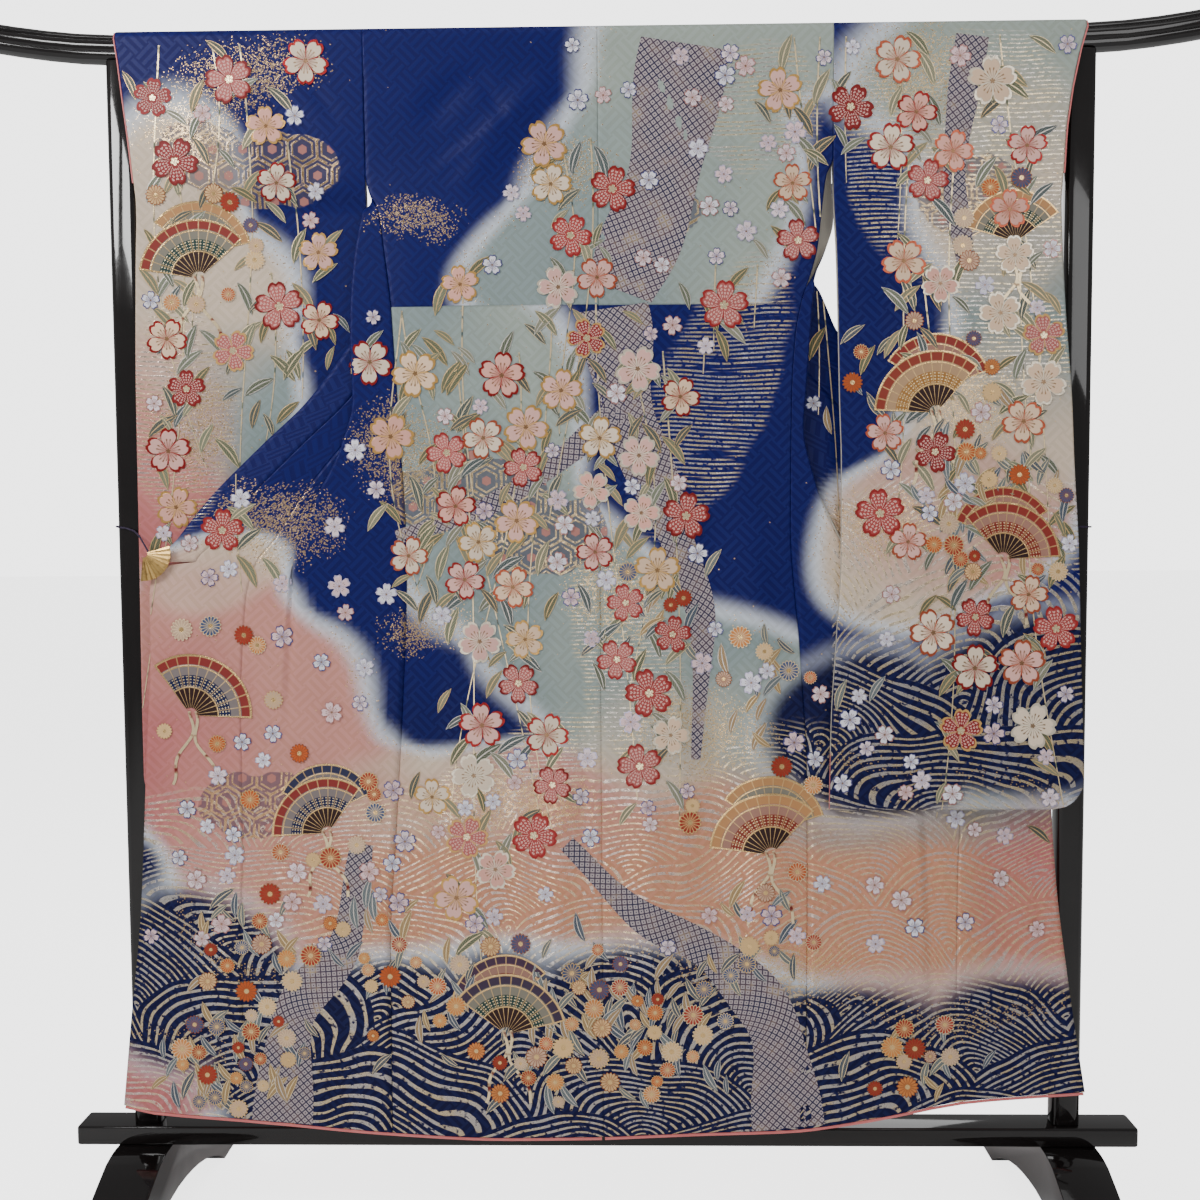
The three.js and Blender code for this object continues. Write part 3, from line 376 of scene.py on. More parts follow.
print("creases laid:", len(BACK_CREASES + SLEEVE_CREASES + FRONT_CREASES))


# %% What a crease does to the cloth
def smooth(t):
    t = np.clip(t, 0, 1)
    return t * t * (3 - 2 * t)


def mix(p, q, t):
    return p + (q - p) * t


def creased(creases, x, z):
    """How far the creases lift the cloth towards the viewer."""
    lift = np.zeros(np.broadcast(x, z).shape)
    for x0, z0, x1, z1, width, height in creases:
        length = math.hypot(x1 - x0, z1 - z0)
        along = ((x - x0) * (x1 - x0) + (z - z0) * (z1 - z0)) / length ** 2
        aside = ((x - x0) * (z1 - z0) - (z - z0) * (x1 - x0)) / length
        lift += height * smooth(along * 3) * smooth((1 - along) * 3) * np.exp(-(aside / width) ** 2)
    return lift


def lifted(side, a, z):
    """Towards the hem, heights follow the hem's own curve."""
    return z + HEM_LIFT[side](a) * np.clip((TOP - z) / (TOP - HEM), 0, 1) ** 4


print("the hem's outer corners hang at", [round(float(lifted(k, 690, HEM))) for k in (-1, 1)], "mm")

# %% [markdown]
# ## The dyer's clouds
# The ground is dyed in soft clouds, in which royal blue fades through white into pale water green
# or pink. A painter would do it with a wide brush on the stretched cloth. Here each cloud is an
# oval with a soft edge, and a colour attribute on the cloth's points carries the result. At six
# millimetres a point it is fine enough for these fades, and the shader adds what is crisp.

# %% The ground's colours and clouds
ROYAL, NAVY = (0.0040, 0.0052, 0.090), (0.0036, 0.0042, 0.040)
WATER, MINT = (0.24, 0.30, 0.29), (0.34, 0.39, 0.34)
CREAM, BLUSH = (0.66, 0.53, 0.40), (0.58, 0.26, 0.21)
SALMON, ROSE = (0.58, 0.26, 0.15), (0.50, 0.16, 0.15)
GLOW = (0.66, 0.70, 0.76)
ABOVE, BELOW, ANY, SLEEVE_ONLY, FRONT_ONLY = 1, -1, 0, 2, 3
# How far out a cloud and a deep patch end and how soft they are, as shares of their ovals, and by
# how many metres their outlines wander
CLOUD_END, CLOUD_FADE, DEEP_END, DEEP_FADE, RAGGED = 1.28, 0.55, 1.3, 0.5, 0.022
# colour, x, z, half width, half height, tilt in degrees, and where it shows: above or below the
# waist tuck, or on one kind of piece only
CLOUDS = [
    (MINT, 0.12, 1.64, 0.15, 0.19, 0, ABOVE), (WATER, 0.05, 1.50, 0.16, 0.15, 30, ABOVE),
    (MINT, 0.17, 1.50, 0.10, 0.16, 0, ABOVE), (WATER, -0.06, 1.43, 0.13, 0.10, 20, ABOVE),
    (MINT, 0.24, 1.74, 0.14, 0.07, 0, ABOVE), (MINT, 0.56, 1.68, 0.21, 0.12, 0, ANY),
    (CREAM, 0.58, 1.52, 0.13, 0.16, 0, ANY), (WATER, 0.61, 1.36, 0.11, 0.17, 0, ANY),
    (CREAM, 0.56, 1.18, 0.13, 0.13, 0, ANY), (BLUSH, 0.50, 1.06, 0.16, 0.10, 0, ANY),
    (CREAM, 0.42, 1.02, 0.12, 0.11, 0, ANY), (WATER, -0.25, 1.26, 0.14, 0.15, 0, BELOW),
    (MINT, -0.13, 1.22, 0.11, 0.17, 0, BELOW), (WATER, -0.18, 1.07, 0.13, 0.15, -10, BELOW),
    (WATER, -0.07, 0.95, 0.12, 0.19, 25, BELOW), (MINT, 0.03, 0.86, 0.12, 0.14, 30, BELOW),
    (WATER, 0.16, 0.81, 0.16, 0.12, -10, BELOW), (MINT, 0.27, 0.77, 0.12, 0.10, 0, BELOW),
    (CREAM, 0.10, 0.75, 0.12, 0.08, 0, BELOW), (CREAM, -0.60, 1.50, 0.09, 0.15, 0, SLEEVE_ONLY),
    (CREAM, -0.57, 1.36, 0.13, 0.13, 0, SLEEVE_ONLY),
    (BLUSH, -0.62, 1.22, 0.10, 0.14, 0, SLEEVE_ONLY),
    (WATER, -0.52, 1.23, 0.10, 0.10, 0, SLEEVE_ONLY),
    (ROSE, -0.65, 1.08, 0.09, 0.10, 0, SLEEVE_ONLY),
    (CREAM, -0.56, 0.99, 0.10, 0.05, 20, FRONT_ONLY), (BLUSH, -0.57, 0.90, 0.13, 0.12, 0, ANY),
    (ROSE, -0.60, 0.76, 0.11, 0.15, 0, ANY), (BLUSH, -0.46, 0.82, 0.13, 0.10, 0, ANY),
    (BLUSH, -0.44, 0.68, 0.18, 0.12, 0, ANY), (CREAM, -0.24, 0.66, 0.16, 0.08, 0, ANY),
    (SALMON, -0.32, 0.56, 0.20, 0.13, 0, ANY), (SALMON, 0.00, 0.56, 0.28, 0.12, 0, ANY),
    (BLUSH, -0.08, 0.66, 0.16, 0.08, 0, ANY), (SALMON, 0.30, 0.58, 0.26, 0.14, 0, ANY),
    (SALMON, 0.50, 0.46, 0.22, 0.12, 0, ANY), (WATER, 0.42, 0.64, 0.24, 0.06, 0, ANY),
    (ROSE, 0.62, 0.52, 0.10, 0.14, 0, ANY), (ROSE, -0.63, 0.26, 0.10, 0.07, 0, ANY),
    (BLUSH, -0.50, 0.56, 0.12, 0.14, 0, ANY),
]
# The navy of the hem and of the right sleeve's foot: x, z, half width, half height, tilt
DEEPS = [
    (-0.60, 0.40, 0.15, 0.13, 20), (-0.36, 0.29, 0.22, 0.13, 10), (-0.10, 0.26, 0.24, 0.14, 0),
    (0.08, 0.30, 0.24, 0.15, 0), (0.34, 0.25, 0.25, 0.14, 0), (0.60, 0.27, 0.20, 0.13, 0),
    (0.40, 0.75, 0.15, 0.12, -8), (0.60, 0.79, 0.16, 0.13, 10),
]
print("clouds:", len(CLOUDS), "and deep patches:", len(DEEPS))


# %% Dyeing the ground
def oval(x, z, cx, cz, rx, rz, tilt):
    """How far out a place lies in an oval: 0 at its middle and 1 on its outline."""
    c, s = math.cos(math.radians(tilt)), math.sin(math.radians(tilt))
    return np.hypot(((x - cx) * c + (z - cz) * s) / rx, ((z - cz) * c - (x - cx) * s) / rz)


def wander(x, z, seed, size):
    """A slow, even wandering between -1 and 1, the same on every run."""
    rng = np.random.default_rng(seed)
    total = np.zeros(np.broadcast(x, z).shape)
    for k in range(5):
        turn, phase = rng.uniform(0, math.pi), rng.uniform(0, 2 * math.pi)
        pace = 2 * math.pi / size * (0.6 + 0.35 * k)
        total += np.sin((x * math.cos(turn) + z * math.sin(turn)) * pace + phase) / (1 + 0.4 * k)
    return total / 3


def ground(x, z, part):
    """The dyed ground at places in metres, and how far a place lies inside the clouds."""
    wx = x + RAGGED * wander(x, z, 1, 0.34)
    wz = z + RAGGED * wander(x, z, 2, 0.30)
    total, weight, outside = np.zeros(x.shape + (3,)), np.zeros(x.shape), np.ones(x.shape)
    above = z > TUCK * MM
    shows = {ABOVE: above * (part != "sleeve"), BELOW: ~above * (part == "back"), ANY: 1,
             SLEEVE_ONLY: part == "sleeve", FRONT_ONLY: part == "front"}
    for colour, cx, cz, rx, rz, tilt, where in CLOUDS:
        m = np.clip((CLOUD_END - oval(wx, wz, cx, cz, rx, rz, tilt)) / CLOUD_FADE, 0, 1)
        m = m * shows[where]
        total += (m ** 2)[..., None] * np.array(colour)
        weight += m ** 2
        outside *= 1 - m
    inside = 1 - outside
    tint = total / np.maximum(weight, 1e-6)[..., None]
    blue = mix(np.array(NAVY), np.array(ROYAL), smooth((z - 0.45) / 0.5)[..., None])
    glow = smooth(inside / 0.55)[..., None]
    full = smooth((inside - 0.35) / 0.5)[..., None]
    dyed = mix(mix(blue, np.array(GLOW), glow), tint, full)
    deep = np.zeros(x.shape)
    for cx, cz, rx, rz, tilt in DEEPS:
        reach = (DEEP_END - oval(wx, wz, cx, cz, rx, rz, tilt)) / DEEP_FADE
        deep = np.maximum(deep, np.clip(reach, 0, 1))
    dyed = mix(dyed, np.array(GLOW), (smooth(deep / 0.5) * 0.35)[..., None])
    dyed = mix(dyed, np.array(NAVY), smooth((deep - 0.35) / 0.5)[..., None])
    return dyed, inside


print("how far in the clouds the neck lies:", ground(np.zeros(1), np.full(1, 1.70), "back")[1])

# %% [markdown]
# Over the ground lie four kinds of foil and line work, each with its own places: flowing waves,
# gold dust, bands of fine level lines, and tortoiseshell hexagons. A second attribute holds how
# much of each shows at a point, one in each of its four channels.

# %% Where the line work shows
DUST = [(-0.50, 1.69, 0.13, 0.06, 10), (-0.57, 1.62, 0.08, 0.05, 0), (-0.26, 1.49, 0.08, 0.035, 0),
        (-0.05, 1.56, 0.08, 0.06, 0), (0.45, 1.68, 0.10, 0.08, 0), (-0.28, 1.16, 0.08, 0.09, 30),
        (-0.46, 1.06, 0.11, 0.07, 0), (-0.25, 0.91, 0.08, 0.04, 0), (0.02, 0.96, 0.08, 0.08, 0),
        (0.14, 0.76, 0.12, 0.07, 0), (0.52, 1.22, 0.08, 0.08, 0), (0.40, 1.06, 0.08, 0.06, 0),
        (-0.12, 0.66, 0.14, 0.05, 0), (0.24, 0.42, 0.14, 0.06, 0), (-0.58, 1.20, 0.07, 0.10, 0)]
LEVEL = [(0.55, 1.55, 0.15, 0.22, 0), (0.40, 1.58, 0.06, 0.16, 0), (0.04, 0.86, 0.08, 0.18, 15),
         (0.16, 1.24, 0.09, 0.24, -24), (-0.60, 1.22, 0.09, 0.18, 0), (-0.12, 0.70, 0.16, 0.07, 30),
         (0.58, 1.30, 0.12, 0.10, 0), (0.22, 1.64, 0.10, 0.10, 0)]
SHELL = [(-0.46, 1.56, 0.10, 0.055, 0), (-0.56, 1.58, 0.07, 0.05, 0), (-0.18, 1.10, 0.12, 0.06, 0),
         (-0.08, 1.04, 0.09, 0.06, 0), (0.08, 1.50, 0.06, 0.05, 0), (0.52, 1.52, 0.08, 0.06, 0),
         (-0.50, 0.66, 0.08, 0.05, 0)]


def patches(x, z, ovals, soft):
    """1 inside the ovals, fading to 0 over the given share of their size."""
    out = np.zeros(x.shape)
    for cx, cz, rx, rz, tilt in ovals:
        out = np.maximum(out, np.clip((1 - oval(x, z, cx, cz, rx, rz, tilt)) / soft, 0, 1))
    return out


def line_work(x, z, inside):
    """The amounts of waves, gold dust, level lines and hexagons."""
    wx = x + 0.012 * wander(x, z, 3, 0.12)
    wz = z + 0.012 * wander(x, z, 4, 0.10)
    shore = 0.74 + 0.05 * wander(x, z, 5, 0.5) + 0.10 * smooth((x - 0.05) / 0.3)
    sea = smooth((shore - z) / 0.10) * (z < 1.2)
    sleeve_shore = 1.14 + 0.04 * wander(x, z, 6, 0.2)
    sleeve_sea = smooth((x - 0.325) / 0.01) * smooth((sleeve_shore - z) / 0.08)
    waves = np.maximum(sea, sleeve_sea)
    rim = np.exp(-((inside - 0.55) / 0.22) ** 2) * (0.5 + 0.5 * wander(x, z, 7, 0.16))
    dust = np.maximum(patches(wx, wz, DUST, 0.7), 0.35 * np.clip(rim, 0, 1))
    lines = patches(wx, wz, LEVEL, 0.35)
    shells = patches(wx, wz, SHELL, 0.08)
    return np.stack([waves, dust, lines, shells], -1)


print("patches of dust, lines and hexagons:", len(DUST), len(LEVEL), len(SHELL))

# %% [markdown]
# ## Building shaders from small parts
# Every finish below is a shader, and the marks that several finishes share are node groups. A
# group could be drawn by hand in the editor. Written out, it needs a way to add a node, link it
# and give it numbers in one line, which this small helper does.


# %% A helper that lays out nodes
class Nodes:
    """Adds nodes to one tree. A value may be a number, a colour or another node's socket."""

    def __init__(self, tree, shader=None):
        self.tree, self.shader = tree, shader

    def feed(self, socket, value):
        if isinstance(value, bpy.types.NodeSocket):
            self.tree.links.new(value, socket)
        else:
            socket.default_value = value

    def add(self, kind, values=(), **settings):
        node = self.tree.nodes.new("ShaderNode" + kind)
        for key, value in settings.items():
            setattr(node, key, value)
        for key, value in values.items() if isinstance(values, dict) else enumerate(values):
            self.feed(node.inputs[key], value)
        return node

    def math(self, operation, first, *others):
        """One sum after another, or a single one on the first value alone."""
        if not others:
            return self.add("Math", [first], operation=operation).outputs[0]
        for other in others:
            first = self.add("Math", [first, other], operation=operation).outputs[0]
        return first

    def times(self, *values):
        return self.math("MULTIPLY", *values)

    def plus(self, *values):
        return self.math("ADD", *values)

    def minus(self, *values):
        return self.math("SUBTRACT", *values)

    def most(self, *values):
        return self.math("MAXIMUM", *values)

    def repeat(self, value, count):
        """The distance from the middle of a share, with so many shares to the whole."""
        return self.math("ABSOLUTE", self.minus(self.math("FRACT", self.times(value, count)), 0.5))

    def zigzag(self, value):
        """0 at whole numbers, up to a half between them."""
        return self.math("PINGPONG", value, 0.5)

    def step(self, value, low, high):
        """0 below low, 1 above high, and smooth between."""
        node = self.add("MapRange", {"Value": value, "From Min": low, "From Max": high})
        node.interpolation_type = "SMOOTHSTEP"
        return node.outputs["Result"]

    def band(self, value, low, high, end, fade):
        """0 below low, 1 from high to end, and 0 again past fade."""
        return self.times(self.step(value, low, high), self.step(value, fade, end))

    def vector(self, operation, *values):
        node = self.add("VectorMath", values, operation=operation)
        return node.outputs["Value" if operation in ("LENGTH", "DOT_PRODUCT") else "Vector"]

    def split(self, vector):
        return self.add("SeparateXYZ", [vector]).outputs

    def join(self, x, y, z=0.0):
        return self.add("CombineXYZ", [x, y, z]).outputs[0]

    def blend(self, factor, a, b):
        node = self.add("Mix", data_type="RGBA")
        for key, value in ((0, factor), (6, a), (7, b)):
            self.feed(node.inputs[key], (*value, 1) if isinstance(value, tuple) else value)
        return node.outputs[2]

    def noise(self, vector, scale, detail=2.0):
        node = self.add("TexNoise", {"Vector": vector, "Scale": scale, "Detail": detail})
        return node.outputs["Fac"], node.outputs["Color"]

    def place(self):
        return self.add("TexCoord").outputs["Object"]

    def attribute(self, name):
        return self.add("Attribute", attribute_name=name).outputs

    def uv(self, name):
        return self.add("UVMap", uv_map=name).outputs["UV"]

    def use(self, group, values):
        """Places a group and returns its outputs."""
        return self.add("Group", values, node_tree=group).outputs

    def shade(self, colour, rough, values=()):
        """Feeds or sets the shader's own inputs."""
        for key, value in {"Base Color": colour, "Roughness": rough, **dict(values)}.items():
            self.feed(self.shader.inputs[key], value)

    def bump(self, height, strength, distance):
        """Lets the shader's normal follow a height."""
        node = self.add("Bump", {"Height": height, "Strength": strength, "Distance": distance})
        self.feed(self.shader.inputs["Normal"], node.outputs["Normal"])


print("node helper ready")


# %% New groups and materials
def new_group(name, inputs, outputs):
    """An empty node group with named sockets: (tree, helper, its inputs, its outputs)."""
    tree = bpy.data.node_groups.new(name, "ShaderNodeTree")
    tree.interface.new_socket("Vector", in_out="INPUT", socket_type="NodeSocketVector")
    for socket, value in inputs.items():
        made = tree.interface.new_socket(socket, in_out="INPUT", socket_type="NodeSocketFloat")
        made.default_value = value
    for socket in outputs:
        tree.interface.new_socket(socket, in_out="OUTPUT", socket_type="NodeSocketFloat")
    entry = tree.nodes.new("NodeGroupInput").outputs
    return tree, Nodes(tree), entry, tree.nodes.new("NodeGroupOutput").inputs


def new_material(name):
    """A material and the helper for its nodes."""
    material = bpy.data.materials.new(name)
    material.use_nodes = True
    tree = material.node_tree
    return material, Nodes(tree, tree.nodes["Principled BSDF"])


print("groups and materials can be made")

# %% [markdown]
# The silk is a figured satin: bars of level and upright ribs in a lattice, turned by 45 degrees,
# that show as a change of gloss, and in the silk's shader also as a painted sheen, a lighter and
# bluer tone on the bars. It could be an image, but the figure is regular, so a few sums on the
# cloth's own coordinates draw it at any size.

# %% Figured weave
CROSSINGS, BARS = 26.0, 2.5  # the lattice's crossings to a metre, and the bars to a crossing
weave, n, given, out = new_group("figured weave", {}, ("Figure", "Height"))
x, y, _ = n.split(given["Vector"])
p, q = n.times(n.plus(x, y), CROSSINGS), n.times(n.minus(x, y), CROSSINGS)
odd = n.math("MODULO", n.plus(n.math("FLOOR", p), n.math("FLOOR", q)), 2.0)
odd = n.math("ABSOLUTE", odd)
bars = [n.step(n.zigzag(n.times(value, BARS)), 0.20, 0.30) for value in (p, q)]
figure = n.plus(n.times(bars[0], odd), n.times(bars[1], n.minus(1.0, odd)))
thread = n.math("SINE", n.times(n.plus(y, n.times(x, 0.35)), 5200.0))
n.feed(out["Figure"], figure)
n.feed(out["Height"], n.plus(n.times(figure, 0.6), n.times(thread, 0.25)))
print("weave group:", len(weave.nodes), "nodes")

# %% [markdown]
# The sea is drawn as hill behind hill of parallel lines. Each hill is a set of rings round a
# point, and a nearer hill hides the one behind it. For any place on the cloth only two hills can
# show, so the group measures its distance to both and keeps the nearer hill's where it reaches.

# %% Flowing waves
HILL_WIDTH, HILL_RISE, HILL_REACH = 0.34, 0.105, 0.205
waves, n, given, out = new_group("flowing waves", {"Pitch": 0.0112}, ("Line", "Vary"))
moved = given["Vector"]
for scale, reach in ((3.2, (0.34, 0.20, 0.0)), (9.0, (0.03, 0.03, 0.0))):
    _, drift = n.noise(given["Vector"], scale, 1.0)
    drift = n.vector("MULTIPLY", n.vector("SUBTRACT", drift, (0.5,) * 3), reach)
    moved = n.vector("ADD", moved, drift)
x, y, _ = n.split(moved)
rows = n.math("DIVIDE", y, HILL_RISE)
rings = []
for behind in (0.0, 1.0):
    row = n.minus(n.math("FLOOR", rows), behind)
    shift = n.plus(n.math("DIVIDE", x, HILL_WIDTH), n.times(n.math("PINGPONG", row, 1.0), 0.5))
    dx = n.times(n.minus(n.math("FRACT", shift), 0.5), HILL_WIDTH)
    dy = n.times(n.minus(rows, row), HILL_RISE, 1.15)
    rings.append(n.vector("LENGTH", n.join(dx, dy)))
near = n.math("LESS_THAN", rings[1], HILL_REACH)
ring = n.plus(n.times(rings[1], near), n.times(rings[0], n.minus(1.0, near)))
vary, _ = n.noise(given["Vector"], 22.0, 3.0)
line = n.minus(n.zigzag(n.math("DIVIDE", ring, given["Pitch"])), n.times(vary, 0.26))
n.feed(out["Line"], n.step(line, 0.17, 0.22))
n.feed(out["Vary"], vary)
print("wave group:", len(waves.nodes), "nodes")

# %% [markdown]
# Gold dust is sprinkled through a sieve onto paste, so it is dense in the middle of a cloud and
# thins out at its rim. A Voronoi texture gives each grain a place and a random value, and a grain
# shows where that value is under the amount wanted there.

# %% Gold dust, level lines and hexagons
dust, n, given, out = new_group("gold dust", {"Amount": 0.5}, ("Grain",))
fine = n.add("TexVoronoi", {"Vector": given["Vector"], "Scale": 460.0})
luck = n.split(fine.outputs["Color"])[0]
cloudy, _ = n.noise(given["Vector"], 46.0, 2.0)
chosen = n.math("LESS_THAN", luck, n.times(given["Amount"], n.plus(cloudy, 0.42)))
n.feed(out["Grain"], n.times(chosen, n.step(fine.outputs["Distance"], 0.64, 0.44)))

level, n, given, out = new_group("level lines", {"Pitch": 0.0062}, ("Line",))
_, sway = n.noise(given["Vector"], 7.0, 1.0)
x, y, _ = n.split(given["Vector"])
height = n.plus(y, n.times(n.split(sway)[0], 0.02))
line = n.step(n.zigzag(n.math("DIVIDE", height, given["Pitch"])), 0.26, 0.34)
gap, _ = n.noise(n.vector("MULTIPLY", given["Vector"], (8.0, 160.0, 1.0)), 1.0, 0.0)
n.feed(out["Line"], n.times(line, n.step(gap, 0.30, 0.42)))

ROOT3 = math.sqrt(3)
shells, n, given, out = new_group("tortoiseshell", {"Size": 0.042}, ("Line", "Heart"))
place = n.vector("DIVIDE", given["Vector"], n.join(given["Size"], given["Size"], 1.0))
corners = []
for start in ((0.0, 0.0, 0.0), (0.5, ROOT3 / 2, 0.0)):
    part = n.vector("DIVIDE", n.vector("SUBTRACT", place, start), (1.0, ROOT3, 1.0))
    part = n.vector("SUBTRACT", n.vector("FRACTION", part), (0.5, 0.5, 0.0))
    corners.append(n.vector("MULTIPLY", part, (1.0, ROOT3, 0.0)))
closer = n.math("LESS_THAN", *(n.vector("LENGTH", corner) for corner in corners))
keep = n.join(closer, closer, 0.0)
other = n.vector("SUBTRACT", (1.0, 1.0, 0.0), keep)
cell = n.vector("ABSOLUTE", n.vector("ADD", n.vector("MULTIPLY", corners[0], keep),
                                     n.vector("MULTIPLY", corners[1], other)))
out_by = n.most(n.split(cell)[0], n.vector("DOT_PRODUCT", cell, (0.5, ROOT3 / 2, 0.0)))
n.feed(out["Line"], n.most(n.step(out_by, 0.44, 0.465), n.band(out_by, 0.30, 0.32, 0.36, 0.38)))
n.feed(out["Heart"], n.step(out_by, 0.16, 0.13))
print("dust, line and hexagon groups:", len(dust.nodes), len(level.nodes), len(shells.nodes))

# %% [markdown]
# ## The silk
# One shader serves every outer piece. The dyed ground comes from the cloth's attribute, the
# figure changes its gloss and gets a painted sheen, a lighter and bluer tone on its bars, and foil
# lies over it where the second attribute asks. Foil is a thin metal, so Metallic rises there and
# Roughness falls, and Bump lifts its edge a little.

# %% The silk's material
GOLD, PALE_GOLD, SILVER = (0.76, 0.50, 0.22), (0.88, 0.70, 0.42), (0.70, 0.64, 0.58)
# The first of these is the blue of a painted sheen on the figure's bars; the other two are the
# hexagons' own colours.
FIGURE_SHEEN_BLUE, SHELL_GROUND, SHELL_HEART = (0.15, 0.26, 0.95), (0.07, 0.06, 0.10), (0.50, 0.20, 0.16)

silk, n = new_material("dyed and gilded silk")
uv, dyed, marks = n.uv("cloth"), n.attribute("ground")["Color"], n.attribute("marks")
wave_amount, dust_amount, line_amount = n.split(marks["Color"])
woven = n.use(weave, {"Vector": uv})
sea = n.use(waves, {"Vector": uv})
grains = n.use(dust, {"Vector": uv, "Amount": dust_amount})
lines = n.use(level, {"Vector": uv})
hexes = n.use(shells, {"Vector": uv})

mottle, _ = n.noise(uv, 14.0, 3.0)
# The mottle is a random change of tone. The figure's share here and the blend towards the blue
# below are painted sheen on the weave's bars.
even = n.plus(n.times(mottle, 0.16), n.times(woven["Figure"], 0.10), 0.88)
base = n.add("VectorMath", {0: dyed, "Scale": even}, operation="SCALE").outputs[0]
base = n.blend(n.times(woven["Figure"], 0.020), base, FIGURE_SHEEN_BLUE)

shell_here = n.step(marks["Alpha"], 0.3, 0.6)
shell_foil = n.times(hexes["Line"], shell_here)
worn, _ = n.noise(uv, 130.0, 4.0)
foil = n.most(n.times(sea["Line"], n.step(wave_amount, 0.2, 0.7)),
              n.times(lines["Line"], n.step(line_amount, 0.1, 0.6)), shell_foil)
foil = n.most(n.times(foil, n.step(worn, 0.36, 0.48)), grains["Grain"])

base = n.blend(n.times(shell_here, 0.7), base, SHELL_GROUND)
base = n.blend(n.times(hexes["Heart"], shell_here, 0.8), base, SHELL_HEART)
metal = n.blend(n.step(sea["Vary"], 0.40, 0.60), SILVER, PALE_GOLD)
metal = n.blend(n.most(grains["Grain"], shell_foil), metal, GOLD)
gloss = n.minus(0.50, n.times(woven["Figure"], 0.13), n.times(foil, 0.22))
n.shade(n.blend(foil, base, n.blend(0.35, metal, dyed)), gloss,
        {"Metallic": n.times(foil, 0.8), "Specular IOR Level": 0.14})
n.bump(n.plus(n.times(woven["Height"], 0.35), n.times(foil, n.plus(worn, 0.5))), 0.38, 0.0008)
print("silk:", len(silk.node_tree.nodes), "nodes")

# %% [markdown]
# Inside, an ivory lining changes to pink along a level seam above the hem, as the lining of such
# a kimono does, because the lower part shows when the wearer walks. The pink edging that rolls
# out at the hem and the cuffs is the same plain silk.

# %% Lining and edging
IVORY = ((0.42, 0.385, 0.33), (0.51, 0.47, 0.40))
PINK_LINING = ((0.52, 0.15, 0.14), (0.60, 0.20, 0.18))
PINK_EDGE = ((0.60, 0.13, 0.13), (0.74, 0.22, 0.21))

lining, n = new_material("ivory and pink lining")
cloudy, _ = n.noise(n.place(), 9.0, 3.0)
low = n.step(n.split(n.place())[2], 0.735, 0.725)
woven = n.use(weave, {"Vector": n.uv("cloth")})
n.shade(n.blend(low, n.blend(cloudy, *IVORY), n.blend(cloudy, *PINK_LINING)),
        n.minus(0.62, n.times(woven["Figure"], 0.08)))
n.bump(woven["Height"], 0.15, 0.0004)

edging, n = new_material("pink silk edging")
cloudy, _ = n.noise(n.place(), 60.0, 3.0)
ribs, _ = n.noise(n.vector("MULTIPLY", n.place(), (1.0, 1.0, 9.0)), 420.0, 1.0)
n.shade(n.blend(cloudy, *PINK_EDGE), n.plus(0.42, n.times(cloudy, 0.16)))
n.bump(ribs, 0.2, 0.0004)
print("lining and edging made")

# %% [markdown]
# ## The strips of cloth
# Each piece starts as a flat grid, one operator, and every point is then moved to its place on
# the hanging cloth. The grid's columns run across the strip and its rows down it. Its UV map
# holds the same places in metres on the flat strip, so the pattern bends with the cloth. Solidify
# gives the silk its lining, a second face with the lining's material.


# %% A grid that becomes cloth
def strip(points, flat):
    """A grid whose points go to rows of places in millimetres, with their flat places as UV."""
    bm = bmesh.new()
    where = grid(bm, *points.shape[:2])
    uv = bm.loops.layers.uv.new("cloth")
    unwrap(bm.faces, uv, {v: flat[spot] * MM for v, spot in where.items()})
    for v, spot in where.items():
        v.co = points[spot] * MM
    return bm, where


def cloth(name, part, points, flat, turned):
    """A strip of cloth. Turned means that its outer face is the grid's lower one."""
    bm, _ = strip(points, flat)
    if turned:
        bmesh.ops.reverse_faces(bm, faces=bm.faces)
    return dress(name, part, bm)


def dress(name, part, bm):
    """Makes the cloth's object, paints its attributes and gives it a lining."""
    ob = new_object(name, bm, silk, lining)
    co = np.zeros(len(ob.data.vertices) * 3)
    ob.data.vertices.foreach_get("co", co)
    x, _, z = co.reshape(-1, 3).T
    dyed, inside = ground(x, z, part)
    for layer, colours in (("ground", np.column_stack([dyed, np.ones(len(x))])),
                           ("marks", line_work(x, z, inside))):
        paint = ob.data.attributes.new(layer, "FLOAT_COLOR", "POINT")
        paint.data.foreach_set("color", colours.ravel())
    thick = ob.modifiers.new("lining", "SOLIDIFY")
    thick.thickness = SILK
    thick.offset = -1
    thick.material_offset = 1
    print(f"{name}: {len(ob.data.polygons)} faces")
    return ob


def spread(*stops):
    """Numbers from pairs of a start and a count of steps to the next start."""
    out = []
    for (start, count), (end, _) in zip(stops, stops[1:]):
        out += list(np.linspace(start, end, count, endpoint=False))
    return np.array(out + [stops[-1][0]])


def run_along(points):
    """The length covered from the first of a row of points to each of them."""
    return np.concatenate([[0], np.cumsum(np.linalg.norm(np.diff(points, axis=0), axis=1))])


RAIL_ARC = [(FACE, 1746), (19.6, 1750.8), (17.5, 1754.5), (13.6, 1757.2), (9, 1758.6),
            (4.5, 1758.95)]
OVER_RAIL = [(FACE, REAR_TOP), *RAIL_ARC, (0, TOP), *((-y, z) for y, z in RAIL_ARC[::-1])]
BODY_LEVELS = spread((1738, 4), (1715, 36), (1500, 22), (TUCK + 3, 6), (TUCK - 3, 58),
                     (COLLAR_END, 118), (HEM + 6, 4), (HEM, 0))
EVEN_ACROSS = 44
print("levels down the body:", len(BODY_LEVELS))

# %% [markdown]
# ## The back
# Two strips meet in the centre seam, and each runs from behind the rail over it and down to the
# hem. Across the waist a tuck takes up the spare length of the cloth: its upper fold lies a
# millimetre proud of what hangs below, and the pattern jumps there.

